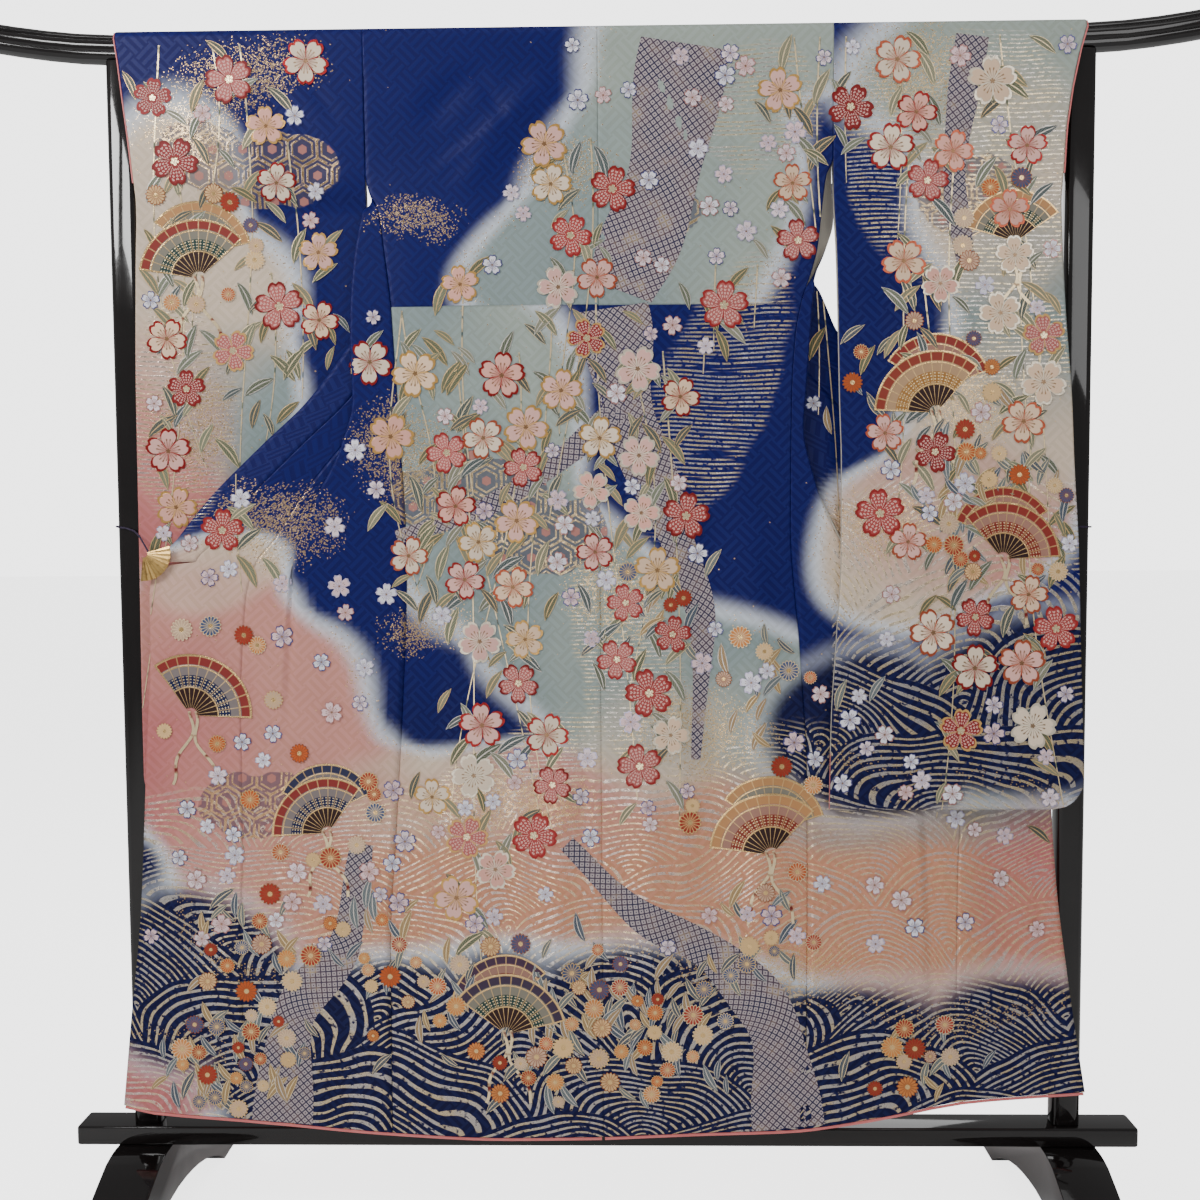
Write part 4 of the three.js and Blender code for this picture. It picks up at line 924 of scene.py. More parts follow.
# %% The two back strips
SEAM_DIP, SEAM_HALF = 0.9, 3.0  # how deep and how wide a seam's dip is
TUCK_PROUD, TUCK_FADE = 1.5, 160  # how far the tuck stands out, and where that has gone
PATTERN_JUMP = (140, -90)  # how far the pattern jumps at the tuck


def seam_dip(distance):
    return SEAM_DIP * np.exp(-((distance / SEAM_HALF) ** 2))


def back_strip(side):
    columns = spread((0, 3), (0.02, EVEN_ACROSS), (0.98, 3), (1, 0))
    a = columns * float(BACK_EDGE[side]["a"](1746))
    points = [np.column_stack([side * a, np.full(len(a), y), np.full(len(a), z)])
              for y, z in OVER_RAIL]
    for z in BODY_LEVELS:
        edge, depth = float(BACK_EDGE[side]["a"](z)), float(BACK_EDGE[side]["y"](z))
        a = columns * edge
        x = side * a
        free = smooth((1 - columns) * 6) * smooth((1720 - z) / 60)
        y = mix(float(back_depth(z)), depth, columns ** 2) - free * creased(BACK_CREASES, x, z)
        tuck = TUCK_PROUD * smooth((z - TUCK + 0.5) / 1.2) * smooth((TUCK + TUCK_FADE - z) / 120)
        y = y - tuck * smooth((1 - columns) * 8)
        y = y + (seam_dip(a) + seam_dip(edge - a)) * smooth((1715 - z) / 40)
        points.append(np.column_stack([x, y, lifted(side, a, z)]))
    points = np.array(points)
    down = run_along(points[:, 0])
    flat = np.array([np.column_stack([row[:, 0], np.full(len(row), TOP - d)])
                     for row, d in zip(points, down)])
    flat[points[:, 0, 2] < TUCK] += PATTERN_JUMP
    return cloth(f"silk_back_{NAMES[side]}", "back", points, flat, turned=side > 0)


NAMES = {-1: "left", 1: "right"}
backs = {side: back_strip(side) for side in NAMES}

# %% [markdown]
# ## The fronts, the overlaps and the collar
# At each height these three are one strip of cloth. The path is followed in half millimetre
# steps: its direction swings round at the fold and again at the inner turn, and adding up the
# steps gives its line. A small drift then brings it to the measured depths.


# %% The path of a front at one height
def front_path(side, z):
    """Returns the strip's width, its two turns and a function from distance to place."""
    row = {name: float(f(z)) for name, f in FRONT[side].items()}
    edge = (BACK_EDGE if z < SIDE_SEAM_TOP else FRONT_EDGE)[side]
    edge_a, edge_y = float(edge["a"](z)), float(edge["y"](z))
    lead, trail = math.radians(row["lead"]), math.radians(row["trail"])
    half = math.pi / 2 * TURN_OUT
    back = max(row["under"], 4 * half)
    swing = math.acos(1 - 2 * row["under"] / back) if row["under"] < back else math.pi
    fold_at = max(row["fold"] - edge_a + 2, half + 2.5)
    inner_at = fold_at + back
    width = row["front"] - edge_a + 2 * row["under"]
    pace = 0.5
    s = np.arange(pace / 2, width + pace, pace)
    turned = smooth((s - fold_at + half) / (2 * half))
    again = smooth((s - inner_at + TURN_IN * 1.6) / (TURN_IN * 3.2))
    heading = mix(mix(lead, max(swing, lead), turned), trail, again)
    line_s = np.concatenate([[0], s + pace / 2])
    line_a = np.concatenate([[0], np.cumsum(pace * np.cos(heading))])
    line_a = edge_a + WALL * math.sin(lead) + line_a
    line_y = edge_y + np.concatenate([[0], np.cumsum(pace * np.sin(heading))])
    inner_drift = row["inner"] - float(np.interp(inner_at, line_s, line_y))
    front_drift = row["outer"] - float(np.interp(width, line_s, line_y)) - inner_drift

    def place(q):
        q = np.asarray(q, float)
        a, y = np.interp(q, line_s, line_a), np.interp(q, line_s, line_y)
        behind = smooth((q - fold_at - half) / (inner_at - fold_at - half))
        beyond = smooth((q - inner_at) / (width - inner_at))
        free = smooth((q - inner_at) / 60) * smooth((1480 - z) / 200)
        y = y + inner_drift * behind + front_drift * beyond
        y = y - free * creased(FRONT_CREASES, side * a, z)
        return np.column_stack([side * a, y, lifted(side, a, z)])

    return width, fold_at, inner_at, half, place


print("a front's width at the tuck:", round(front_path(-1, TUCK)[0]), "mm")

# %% Fronts and overlaps
FRONT_START = 300  # where the fronts' pattern starts on the flat cloth


def hung_strip(side, name, heights, places):
    """A strip of a front, from its levels and the distances that places gives for each."""
    points, flat = [], []
    for z in heights:
        path = front_path(side, z)
        d = places(z, *path[:-1])
        points.append(path[-1](d))
        flat.append(np.column_stack([side * (FRONT_START + d), np.full(len(d), z)]))
    return cloth(f"silk_{name}_{NAMES[side]}", "front", np.array(points), np.array(flat),
                 turned=side > 0)


def front_places(z, _, fold_at, inner_at, half):
    """Distances across the front, close together at its two turns."""
    end = float(front_width(z))
    out_turn = min(max(half, fold_at / 8), (inner_at - fold_at) / 2 - 1, fold_at - 1)
    in_turn = max(TURN_IN * 1.6, (end - inner_at) / 8)
    return spread((0, 14), (fold_at - out_turn, 12), (fold_at + out_turn, 18),
                  (min(inner_at - in_turn, end - 9), 12), (min(inner_at + in_turn, end - 3), 12),
                  (end, 0))


def overlap_places(z, width, *_):
    """Even distances from the front's seam to the collar's, or to the edge below the collar."""
    start = float(front_width(z))
    end = width - COLLAR_WIDTH if z >= COLLAR_END else width
    return np.linspace(start, max(end, start + 0.5), 25)


UNDER_TIP = [OVERLAP_TIP] + [z for z in BODY_LEVELS if z < OVERLAP_TIP]
fronts = {side: hung_strip(side, "front", [REAR_TOP, *BODY_LEVELS], front_places)
          for side in NAMES}
overlaps = {side: hung_strip(side, "overlap", UNDER_TIP, overlap_places) for side in NAMES}

# %% The collar, one band from end to end
COLLAR_TURN, SHOULDER_DROP = 1485, 54  # from where, and how far, the band's edge hangs lower
PATTERN_PLACE = 900  # where the collar's pattern lies on the flat cloth


def collar_band():
    heights = [z for z in BODY_LEVELS if COLLAR_END <= z <= 1716] + [COLLAR_END]
    heights = sorted(set(np.round(heights, 3)), reverse=True)

    def station(side, z):
        width, _, _, _, place = front_path(side, z)
        drop = SHOULDER_DROP * float(smooth((z - COLLAR_TURN) / 230))
        lower_width, _, _, _, lower = front_path(side, z - drop)
        sewn = max(width - COLLAR_WIDTH, float(front_width(z)))
        return place([sewn])[0], lower([lower_width])[0]

    left = [station(-1, z) for z in heights][::-1]
    right = [station(1, z) for z in heights]
    low_left, low_right = left[-1][1], right[0][1]
    neck = []
    for t in np.linspace(-0.9, 0.9, 15):
        high = np.array([t * NECK, FACE, REAR_TOP - 20 * abs(t) ** 6])
        low = np.array([mix(low_left[0], low_right[0], (t + 1) / 2), FACE + 2, low_left[2] + 2])
        neck.append((high, low))
    shares = np.linspace(0, 1, 9)
    points = np.array([[mix(seam, free, t) for t in shares] for seam, free in left + neck + right])
    flat = np.array([[(PATTERN_PLACE + t * COLLAR_WIDTH, r) for t in shares]
                     for r in run_along(points[:, 4])])
    return cloth("silk_collar", "front", points, flat, turned=True)


collar = collar_band()

# %% [markdown]
# ## The sleeves
# A sleeve is one strip folded over the rail, so that it has a back layer and a front layer. It is
# sewn along its foot and along its outer edge up to the cuff, and stays open at the cuff and
# along its inner edge. The strip is one grid. Merging its two ends closes the foot, and bridging
# the two outer edges below the cuff closes the side.

# %% The sleeve's grid
SLEEVE_LEVELS = spread((1738, 4), (1715, 26), (1560, 6), (CUFF_END, 8), (1485, 116), (760, 10),
                       (SLEEVE_BOTTOM + SLEEVE_ROUNDING, 12), (SLEEVE_BOTTOM, 0))
MIDDLE = 20  # the column whose length sets the pattern


def sleeve_outer(side, z):
    """The sleeve's outer edge, with its rounded lower corner."""
    low = max(SLEEVE_BOTTOM + SLEEVE_ROUNDING - z, 0)
    rounding = math.sqrt(max(SLEEVE_ROUNDING ** 2 - low ** 2, 0))
    return float(SLEEVE[side]["outer"](z)) - SLEEVE_ROUNDING + rounding


def sleeve_row(side, layer, u, z):
    row = {name: float(f(z)) for name, f in SLEEVE[side].items()}
    x = side * mix(row["inner"], sleeve_outer(side, z), u)
    toward_cuff = u * u if side < 0 else u
    free = smooth(u * 5) * smooth((1 - u) * 5) * smooth((1720 - z) / 60)
    y = mix(row[layer + "_in"], row[layer + "_out"], toward_cuff)
    return np.column_stack([x, y - free * creased(SLEEVE_CREASES, x, z), np.full(len(u), z)])


def sleeve_rows(side):
    """Up the back layer, over the rail and down the front layer to the same foot."""
    u = spread((0, 3), (0.02, 34), (0.98, 3), (1, 0))
    x = side * mix(float(SLEEVE[side]["inner"](1746)), sleeve_outer(side, 1746), u)
    rows = [sleeve_row(side, "back", u, z) for z in SLEEVE_LEVELS[::-1]]
    rows += [np.column_stack([x, np.full(len(u), y), np.full(len(u), z)])
             for y, z in OVER_RAIL[:0:-1]]
    rows += [sleeve_row(side, "front", u, z) for z in SLEEVE_LEVELS]
    points = np.array([*rows, rows[0]])
    flat = np.array([np.column_stack([row[:, 0], np.full(len(u), SLEEVE_BOTTOM + r)])
                     for row, r in zip(points, run_along(points[:, MIDDLE]))])
    return points, flat


def sewn_sleeve(side):
    points, flat = sleeve_rows(side)
    rows, across = points.shape[:2]
    bm, where = strip(points, flat)
    back, front = [], []
    for edge in bm.edges:
        (j, i), (k, h) = (where[v] for v in edge.verts)
        if i == h == across - 1 and max(points[j, i, 2], points[k, h, 2]) <= CUFF_END + 0.1:
            (back if max(j, k) < rows / 2 else front).append(edge)
    bmesh.ops.bridge_loops(bm, edges=back + front)
    bmesh.ops.remove_doubles(bm, verts=bm.verts, dist=1e-6)
    if side < 0:
        bmesh.ops.reverse_faces(bm, faces=bm.faces)
    return dress(f"silk_sleeve_{NAMES[side]}", "sleeve", bm)


sleeves = {side: sewn_sleeve(side) for side in NAMES}
print("sleeve length:", TOP - SLEEVE_BOTTOM, "mm")

# %% [markdown]
# ## The stand
# Black lacquer is coat on coat of varnish over wood, polished until it mirrors the room, with
# edges a little rounded by the polishing. The solids' own faces are right but their edges are
# knife sharp. A bevel with hardened normals on a merged copy keeps the flats flat and gives each
# edge its thin line of light.

# %% Lacquer
BLACKS = ((0.004, 0.003, 0.003), (0.010, 0.008, 0.008))
lacquer, n = new_material("polished black lacquer")
orange_peel, _ = n.noise(n.place(), 90.0, 2.0)
smudge, _ = n.noise(n.place(), 6.0, 4.0)
grain, _ = n.noise(n.vector("MULTIPLY", n.place(), (0.6, 1.0, 0.6)), 24.0, 3.0)
n.shade(n.blend(grain, *BLACKS), n.plus(0.07, n.times(n.step(smudge, 0.4, 0.8), 0.10)),
        {"Coat Weight": 0.5, "Coat Roughness": 0.03, "Specular IOR Level": 0.25})
n.bump(orange_peel, 0.05, 0.001)


def polished(node, bevel=1.2):
    """A copy of a solid, merged, with rounded and polished edges."""
    bm = bmesh.new()
    bm.from_mesh(frame["nodes"][node].data)
    bmesh.ops.remove_doubles(bm, verts=bm.verts, dist=2e-6)
    bmesh.ops.dissolve_limit(bm, angle_limit=math.radians(0.6), verts=bm.verts, edges=bm.edges)
    ob = new_object("polished_" + node, bm, lacquer)
    rounded = ob.modifiers.new("rounded edges", "BEVEL")
    rounded.width = bevel * MM
    rounded.segments = 3
    rounded.limit_method = "ANGLE"
    rounded.angle_limit = math.radians(35)
    rounded.harden_normals = True
    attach(ob, "root")
    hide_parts(node)
    return ob


stand = [polished(node) for node in ("plank", "post_left", "post_right", "foot_left",
                                     "foot_right")]
stand.append(polished("rail", 0.5))
print("stand pieces:", len(stand))

# %% [markdown]
# ## Laying motifs on the silk
# The flowers and leaves are painted and gilded on the finished ground. Each motif is a small flat
# mesh, drawn once and repeated. To lie on the cloth it is dropped straight onto it: a ray from
# each of its points finds the silk's nearest face, whichever piece that is, and the point comes
# to rest a hair above it. A motif that would bridge a gap or a fold is left out.

# %% Rays onto the cloth
garment = [*backs.values(), *fronts.values(), *overlaps.values(), collar, *sleeves.values()]
NEAR_SIDE, FAR_SIDE = -1, 1
RAIL_LINE = 1.742  # no motif reaches above this height, in metres
LOOSE, STEEP = 0.006, 0.108  # how far a motif's points may lie from its middle in depth


def find_faces(objects):
    vertices, faces = [], []
    for ob in objects:
        start = len(vertices)
        vertices += [tuple(v.co) for v in ob.data.vertices]
        faces += [tuple(start + k for k in p.vertices) for p in ob.data.polygons]
    return BVHTree.FromPolygons(vertices, faces)


silk_faces = find_faces(garment)


def drop(x, z, side, lift):
    """The place just above the silk at x, z in metres, or None over a gap or the lining."""
    hit, normal, _, _ = silk_faces.ray_cast(Vector((x, side, z)), Vector((0, -side, 0)))
    if hit is None or normal.y * side <= 0:
        return None
    return hit + normal * lift


def laid(bm, first, x, z, turn, size, side, lift):
    """Moves the points from the given one on onto the cloth. False if they don't fit."""
    bm.verts.ensure_lookup_table()
    verts = bm.verts[first:]
    c, s = math.cos(turn), math.sin(turn)
    places = []
    for v in verts:
        px, pz = v.co.x * size, v.co.y * size
        spot = drop(x + (px * c - pz * s) * -side, z + px * s + pz * c, side, lift)
        if spot is None or spot.z > RAIL_LINE:
            break
        places.append(spot)
    middle = drop(x, z, side, lift)
    fits = middle is not None and len(places) == len(verts)
    if not fits or max(abs(p.y - middle.y) for p in places) >= LOOSE + STEEP * size:
        bmesh.ops.delete(bm, geom=verts, context="VERTS")
        return False
    for v, spot in zip(verts, places):
        v.co = spot
    return True


print("faces to land on:", sum(len(ob.data.polygons) for ob in garment))

# %% [markdown]
# ## Blossoms
# A cherry blossom has five petals with a notch in each. Its mesh is a grid rolled round its
# middle, so a point's UV says which petal it is on and how far out. That is all the shader needs
# to draw the outline, the veins, the stamens and, in some, the white dots of tie dyeing.


# %% Templates for the motifs
def figure(name, around, along, place):
    """A flat figure from a grid moved by place(u, v), with that grid as its UV."""
    bm = bmesh.new()
    share = {v: (v.co.x + 0.5, v.co.y + 0.5) for v in grid(bm, along + 1, around + 1)}
    unwrap(bm.faces, bm.loops.layers.uv.new("figure"), share)
    for v, (u, out_) in share.items():
        v.co = (*place(u, out_), 0)
    bmesh.ops.remove_doubles(bm, verts=bm.verts, dist=1e-5)
    mesh = bpy.data.meshes.new(name)
    bm.to_mesh(mesh)
    bm.free()
    return mesh


def rolled(outline):
    """Rolls a grid up round its middle, out to the outline's reach at each turn."""
    def place(turn, out_):
        r = out_ * outline(turn % 1.0)
        return r * math.cos(turn * math.tau), r * math.sin(turn * math.tau)
    return place


def cherry(turn):
    petal = (turn * 5) % 1.0
    swell = math.sin(math.pi * petal) ** 0.55
    return 0.5 * (0.46 + 0.54 * swell - 0.13 * math.exp(-((petal - 0.5) / 0.07) ** 2))


def daisy(turn):
    return 0.5 * (0.80 + 0.20 * abs(math.sin(turn * math.pi * 16)) ** 0.6)


def leaf(u, v):
    return (v - 0.5, (u - 0.5) * 0.26 * math.sin(math.pi * min(v * 1.02, 1.0)) ** 0.75
            + 0.07 * math.sin(math.pi * v))


def fan(u, v):
    turn = math.radians(mix(205, 335, 1 - u))
    r = mix(0.12, 1.0, v)
    return (-r * math.cos(turn) * 0.62, -r * math.sin(turn) * 0.62 - 0.34)


TEMPLATES = {
    "cherry": figure("cherry figure", 50, 4, rolled(cherry)),
    "small": figure("small cherry figure", 30, 2, rolled(cherry)),
    "daisy": figure("daisy figure", 48, 3, rolled(daisy)),
    "leaf": figure("leaf figure", 2, 7, leaf),
    "fan": figure("fan figure", 22, 7, fan),
}
print("motif templates:", sorted(TEMPLATES))

# %% [markdown]
# Two attributes give each motif its own colours, one for the petals and one for the outline, so
# that a few shaders serve hundreds of motifs.


# %% A sheet of motifs
def worn_on_silk(ob):
    """Motifs ride on the one body with the silk beneath them."""
    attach(ob, "root")
    return ob


class Motifs:
    """Many motifs of one kind in one mesh, each laid on the cloth with its own colours."""

    def __init__(self, name, template):
        self.name, self.template = name, TEMPLATES[template]
        self.bm = bmesh.new()
        self.fill = self.bm.verts.layers.float_color.new("fill")
        self.line = self.bm.verts.layers.float_color.new("line")
        self.count = 0

    def put(self, x, z, turn, size, side, lift, fill, line):
        first = len(self.bm.verts)
        self.bm.from_mesh(self.template)
        if not laid(self.bm, first, x, z, turn, size, side, lift + self.count % 40 * 1e-5):
            return False
        self.bm.verts.ensure_lookup_table()
        for v in self.bm.verts[first:]:
            v[self.fill] = (*fill, 1)
            v[self.line] = (*line, 1)
        self.count += 1
        return True

    def finish(self, material):
        print(f"{self.name}: {self.count} motifs, {len(self.bm.faces)} faces")
        return worn_on_silk(new_object(self.name, self.bm, material))


print("motifs ride on the silk")

# %% Shaders for the motifs
BROWN, TIED_DOT, PAINT_ROUGH = (0.22, 0.12, 0.05), (0.78, 0.46, 0.40), 0.42


def motif_parts(n):
    """The figure's turn and distance out, and its two colours."""
    turn, out_, _ = n.split(n.uv("figure"))
    return turn, out_, n.attribute("fill")["Color"], n.attribute("line")["Color"]


def gilded(n, colour, gold_mask):
    """Feeds a painted colour and its gold parts to the shader."""
    n.shade(colour, n.minus(PAINT_ROUGH, n.times(gold_mask, 0.18)),
            {"Metallic": n.times(gold_mask, 0.85), "Specular IOR Level": 0.2})
    crumple, _ = n.noise(n.place(), 420.0, 2.0)
    n.bump(n.times(gold_mask, n.plus(crumple, 0.4)), 0.5, 0.0008)


blossom_silk, n = new_material("painted cherry blossom")
turn, out_, fill, line = motif_parts(n)
beside = n.repeat(turn, 5.0)
colour = n.blend(n.step(out_, 0.10, 0.62), n.blend(0.5, fill, line), fill)
between = n.times(n.step(beside, 0.43, 0.47), n.step(out_, 0.15, 0.25))
rim = n.step(out_, 0.84, 0.90)
spoke = n.repeat(turn, 20.0)
stamen = n.times(n.step(spoke, 0.12, 0.06), n.step(out_, 0.50, 0.44))
anther = n.times(n.step(spoke, 0.22, 0.16), n.band(out_, 0.42, 0.45, 0.52, 0.55))
dark = n.most(stamen, anther, n.step(out_, 0.13, 0.10))
colour = n.blend(n.most(rim, between), colour, line)
colour = n.blend(n.times(dark, 0.85), colour, BROWN)
gilded(n, colour, n.times(n.most(rim, dark), 0.7))

dotted_silk, n = new_material("tie-dyed cherry blossom")
turn, out_, fill, line = motif_parts(n)
from_dot = n.vector("LENGTH", n.join(n.repeat(turn, 25.0), n.repeat(out_, 7.0)))
dot = n.minus(n.step(from_dot, 0.36, 0.26), n.step(from_dot, 0.12, 0.08))
dot = n.times(dot, n.band(out_, 0.26, 0.30, 0.84, 0.88))
between = n.times(n.step(n.repeat(turn, 5.0), 0.44, 0.48), n.step(out_, 0.2, 0.3))
heart = n.step(out_, 0.20, 0.16)
colour = n.blend(n.most(n.step(out_, 0.86, 0.91), between), n.blend(dot, fill, TIED_DOT), line)
gilded(n, n.blend(heart, colour, PALE_GOLD), n.times(heart, 0.9))

daisy_silk, n = new_material("painted chrysanthemum")
turn, out_, fill, line = motif_parts(n)
between = n.times(n.step(n.repeat(turn, 16.0), 0.38, 0.44), n.step(out_, 0.25, 0.35))
edge = n.most(n.step(out_, 0.88, 0.93), between)
colour = n.blend(n.step(out_, 0.2, 0.8), n.blend(0.35, fill, line), fill)
heart = n.step(out_, 0.27, 0.22)
colour = n.blend(heart, n.blend(edge, colour, line), GOLD)
gilded(n, colour, n.most(n.times(edge, 0.4), heart))

leaf_silk, n = new_material("painted leaf")
turn, out_, fill, line = motif_parts(n)
across = n.repeat(turn, 1.0)
vein = n.step(n.zigzag(n.minus(n.times(out_, 9.0), n.times(across, 5.0))), 0.09, 0.05)
marking = n.most(n.step(across, 0.07, 0.04), n.step(across, 0.40, 0.45), n.times(vein, 0.5))
gilded(n, n.blend(marking, fill, line), n.times(marking, 0.6))
print("motif shaders made")

# %% [markdown]
# Folding fans take the middle of each group of flowers. A fan is a sector of a ring: the UV's
# first number runs over its ribs and its second from the pivot to the rim, so bands, ribs and a
# small scale pattern on its paper are all simple sums.

# %% Shader for the fans
STICK_SHADOW = (0.03, 0.012, 0.012)
fan_silk, n = new_material("painted folding fan")
turn, out_, fill, line = motif_parts(n)
ribs = n.step(n.repeat(turn, 11.0), 0.42, 0.47)
colour = n.blend(n.step(out_, 0.60, 0.62), fill, n.blend(0.30, fill, CREAM))
colour = n.blend(n.times(n.step(out_, 0.80, 0.82), 0.9), colour, line)
scale = n.step(n.plus(n.repeat(turn, 22.0), n.repeat(out_, 18.0)), 0.34, 0.28)
scale = n.times(scale, n.band(out_, 0.40, 0.42, 0.58, 0.60))
colour = n.blend(n.times(scale, 0.8), colour, PALE_GOLD)
colour = n.blend(n.step(out_, 0.38, 0.36), colour, n.blend(ribs, STICK_SHADOW, GOLD))
bands = n.step(n.zigzag(n.times(n.minus(out_, 0.38), 2.5)), 0.05, 0.02)
bands = n.times(bands, n.step(out_, 0.36, 0.38))
sides = n.step(n.math("ABSOLUTE", n.minus(turn, 0.5)), 0.485, 0.49)
gold = n.most(bands, sides, n.step(out_, 0.95, 0.97), n.times(ribs, 0.6))
gilded(n, n.blend(gold, colour, GOLD), n.most(gold, n.times(scale, 0.7)))
print("fan shader made")

# %% [markdown]
# ## Boughs and hanging twigs
# Weeping cherry twigs hang over the whole garment like strings of beads. Behind them lie broad
# boughs, filled with tied dots. Both are ribbons: a narrow grid that follows a line of points
# down the cloth, cut wherever the cloth beneath it ends.

# %% Ribbons on the cloth
BREAK = 0.008  # a step in the cloth, in metres, at which a ribbon ends


def ribbon_rows(line, widths, side, lift, columns):
    """The ribbon's rows of places with their widths and lengths, in unbroken runs."""
    shares = np.linspace(-0.5, 0.5, columns + 1)
    runs, along = [[]], 0.0
    for k, (x, z) in enumerate(line):
        ahead, behind = line[min(k + 1, len(line) - 1)], line[max(k - 1, 0)]
        dx, dz = ahead[0] - behind[0], ahead[1] - behind[1]
        length = math.hypot(dx, dz) or 1.0
        spots = [drop(x + dz / length * w * widths[k], z - dx / length * w * widths[k], side, lift)
                 for w in shares]
        if k:
            along += math.hypot(x - line[k - 1][0], z - line[k - 1][1])
        whole = all(s is not None and s.z < RAIL_LINE for s in spots)
        if whole:
            whole = max(s.y for s in spots) - min(s.y for s in spots) < BREAK
        if not whole or (runs[-1] and abs(runs[-1][-1][0][0].y - spots[0].y) >= BREAK):
            runs.append([])
        if whole:
            runs[-1].append((spots, [(w * widths[k], along) for w in shares]))
    return [rows for rows in runs if len(rows) > 1]


class Ribbons:
    """Many ribbons in one mesh, each run of a ribbon a grid of its own."""

    def __init__(self, name):
        self.name, self.bm = name, bmesh.new()
        self.uv = self.bm.loops.layers.uv.new("figure")
        self.fill = self.bm.verts.layers.float_color.new("fill")
        self.line = self.bm.verts.layers.float_color.new("line")

    def lay(self, line, widths, side, lift, columns, fill, edge):
        for rows in ribbon_rows(line, widths, side, lift, columns):
            where = grid(self.bm, len(rows), columns + 1)
            for v, (j, i) in where.items():
                v.co = rows[j][0][i]
                v[self.fill], v[self.line] = (*fill, 1), (*edge, 1)
            faces = list({face for v in where for face in v.link_faces})
            unwrap(faces, self.uv, {v: rows[j][1][i] for v, (j, i) in where.items()})
            if side == FAR_SIDE:
                bmesh.ops.reverse_faces(self.bm, faces=faces)

    def finish(self, material):
        print(f"{self.name}: {len(self.bm.faces)} faces")
        return worn_on_silk(new_object(self.name, self.bm, material))


print("ribbons are cut at steps of", BREAK, "m")

# %% Shaders for the ribbons
DOTS_ACROSS, DOT_PINK = 92.0, (0.40, 0.34, 0.35)
bough_silk, n = new_material("bough of tied dots")
x, y, fill, line = motif_parts(n)
from_dot = n.most(n.repeat(n.plus(x, y), DOTS_ACROSS), n.repeat(n.minus(x, y), DOTS_ACROSS))
square = n.step(from_dot, 0.42, 0.34)
dots = n.minus(square, n.step(from_dot, 0.14, 0.08))
patchy, _ = n.noise(n.uv("figure"), 26.0, 3.0)
colour = n.blend(dots, n.blend(n.step(patchy, 0.35, 0.7), fill, line), DOT_PINK)
glint = n.times(n.step(patchy, 0.55, 0.75), n.minus(1.0, square))
gilded(n, n.blend(n.times(glint, 0.6), colour, PALE_GOLD), glint)

twig_silk, n = new_material("gilded twig")
broken, _ = n.noise(n.uv("figure"), 60.0, 2.0)
glint = n.step(broken, 0.35, 0.5)
gilded(n, n.blend(glint, n.attribute("fill")["Color"], PALE_GOLD), n.times(glint, 0.7))
print("ribbon shaders made")

# %% [markdown]
# ## Growing the design
# A fixed seed makes the same garden on every run. Twigs start near the top and sway down. Blossoms
# are strung along them, never closer than their own size, leaves hang between, and small white
# blossoms fill what is left. Low down, chrysanthemums stand in clumps with their foliage.

# %% Colours of the garden
rng = random.Random(11)
BLOSSOM_FILLS = [(0.80, 0.56, 0.38), (0.78, 0.40, 0.32), (0.84, 0.68, 0.52), (0.76, 0.44, 0.38)]
BLOSSOM_LINES = [(0.60, 0.34, 0.10), (0.30, 0.02, 0.02), (0.46, 0.10, 0.05), (0.80, 0.70, 0.55)]
DOTTED_FILLS = [(0.26, 0.022, 0.024), (0.36, 0.055, 0.052), (0.46, 0.12, 0.11)]
DOTTED_LINES = [(0.20, 0.010, 0.010), (0.62, 0.36, 0.12), (0.30, 0.02, 0.02)]
WHITE_FILLS = [(0.80, 0.78, 0.86), (0.80, 0.66, 0.70), (0.78, 0.56, 0.58)]
WHITE_LINES = [(0.50, 0.45, 0.62), (0.10, 0.10, 0.26), (0.50, 0.24, 0.22)]
LEAF_FILLS = [(0.10, 0.12, 0.075), (0.16, 0.18, 0.12), (0.06, 0.085, 0.085), (0.21, 0.21, 0.14)]
DAISY_FILLS = [(0.50, 0.09, 0.02), (0.72, 0.46, 0.22), (0.62, 0.22, 0.06), (0.58, 0.38, 0.26),
               (0.05, 0.08, 0.18), (0.34, 0.03, 0.02)]
DAISY_LINES = [(0.72, 0.48, 0.20), (0.28, 0.08, 0.03), (0.78, 0.60, 0.36)]
FAN_FILLS = [(0.17, 0.010, 0.010), (0.008, 0.014, 0.062), (0.36, 0.17, 0.045), (0.02, 0.05, 0.045),
             (0.22, 0.03, 0.02)]
FAN_LINES = [(0.008, 0.014, 0.062), (0.24, 0.015, 0.012), (0.03, 0.012, 0.05), (0.50, 0.24, 0.09)]
GROUND_LEAVES = [(0.05, 0.075, 0.11), (0.12, 0.15, 0.16), (0.34, 0.22, 0.10)]
BOUGH_TONES = ((0.020, 0.020, 0.060), (0.11, 0.065, 0.080))
CORD_RED, CORD_WIDTH = (0.16, 0.012, 0.012), 0.0042
# How far above the silk each kind lies, in metres, so that what is painted later lies on top
LIFT = {"bough": 0.00030, "twig": 0.00055, "leaf": 0.0007, "fan behind": 0.0008, "cord": 0.0010,
        "small": 0.0011, "fan": 0.0012, "clump": 0.0012, "blossom": 0.0013, "beside fan": 0.0015}
TONE_SHIFT = 0.05  # half of how much lighter or darker a colour may turn out
taken = []  # what lies there already: x, z, radius
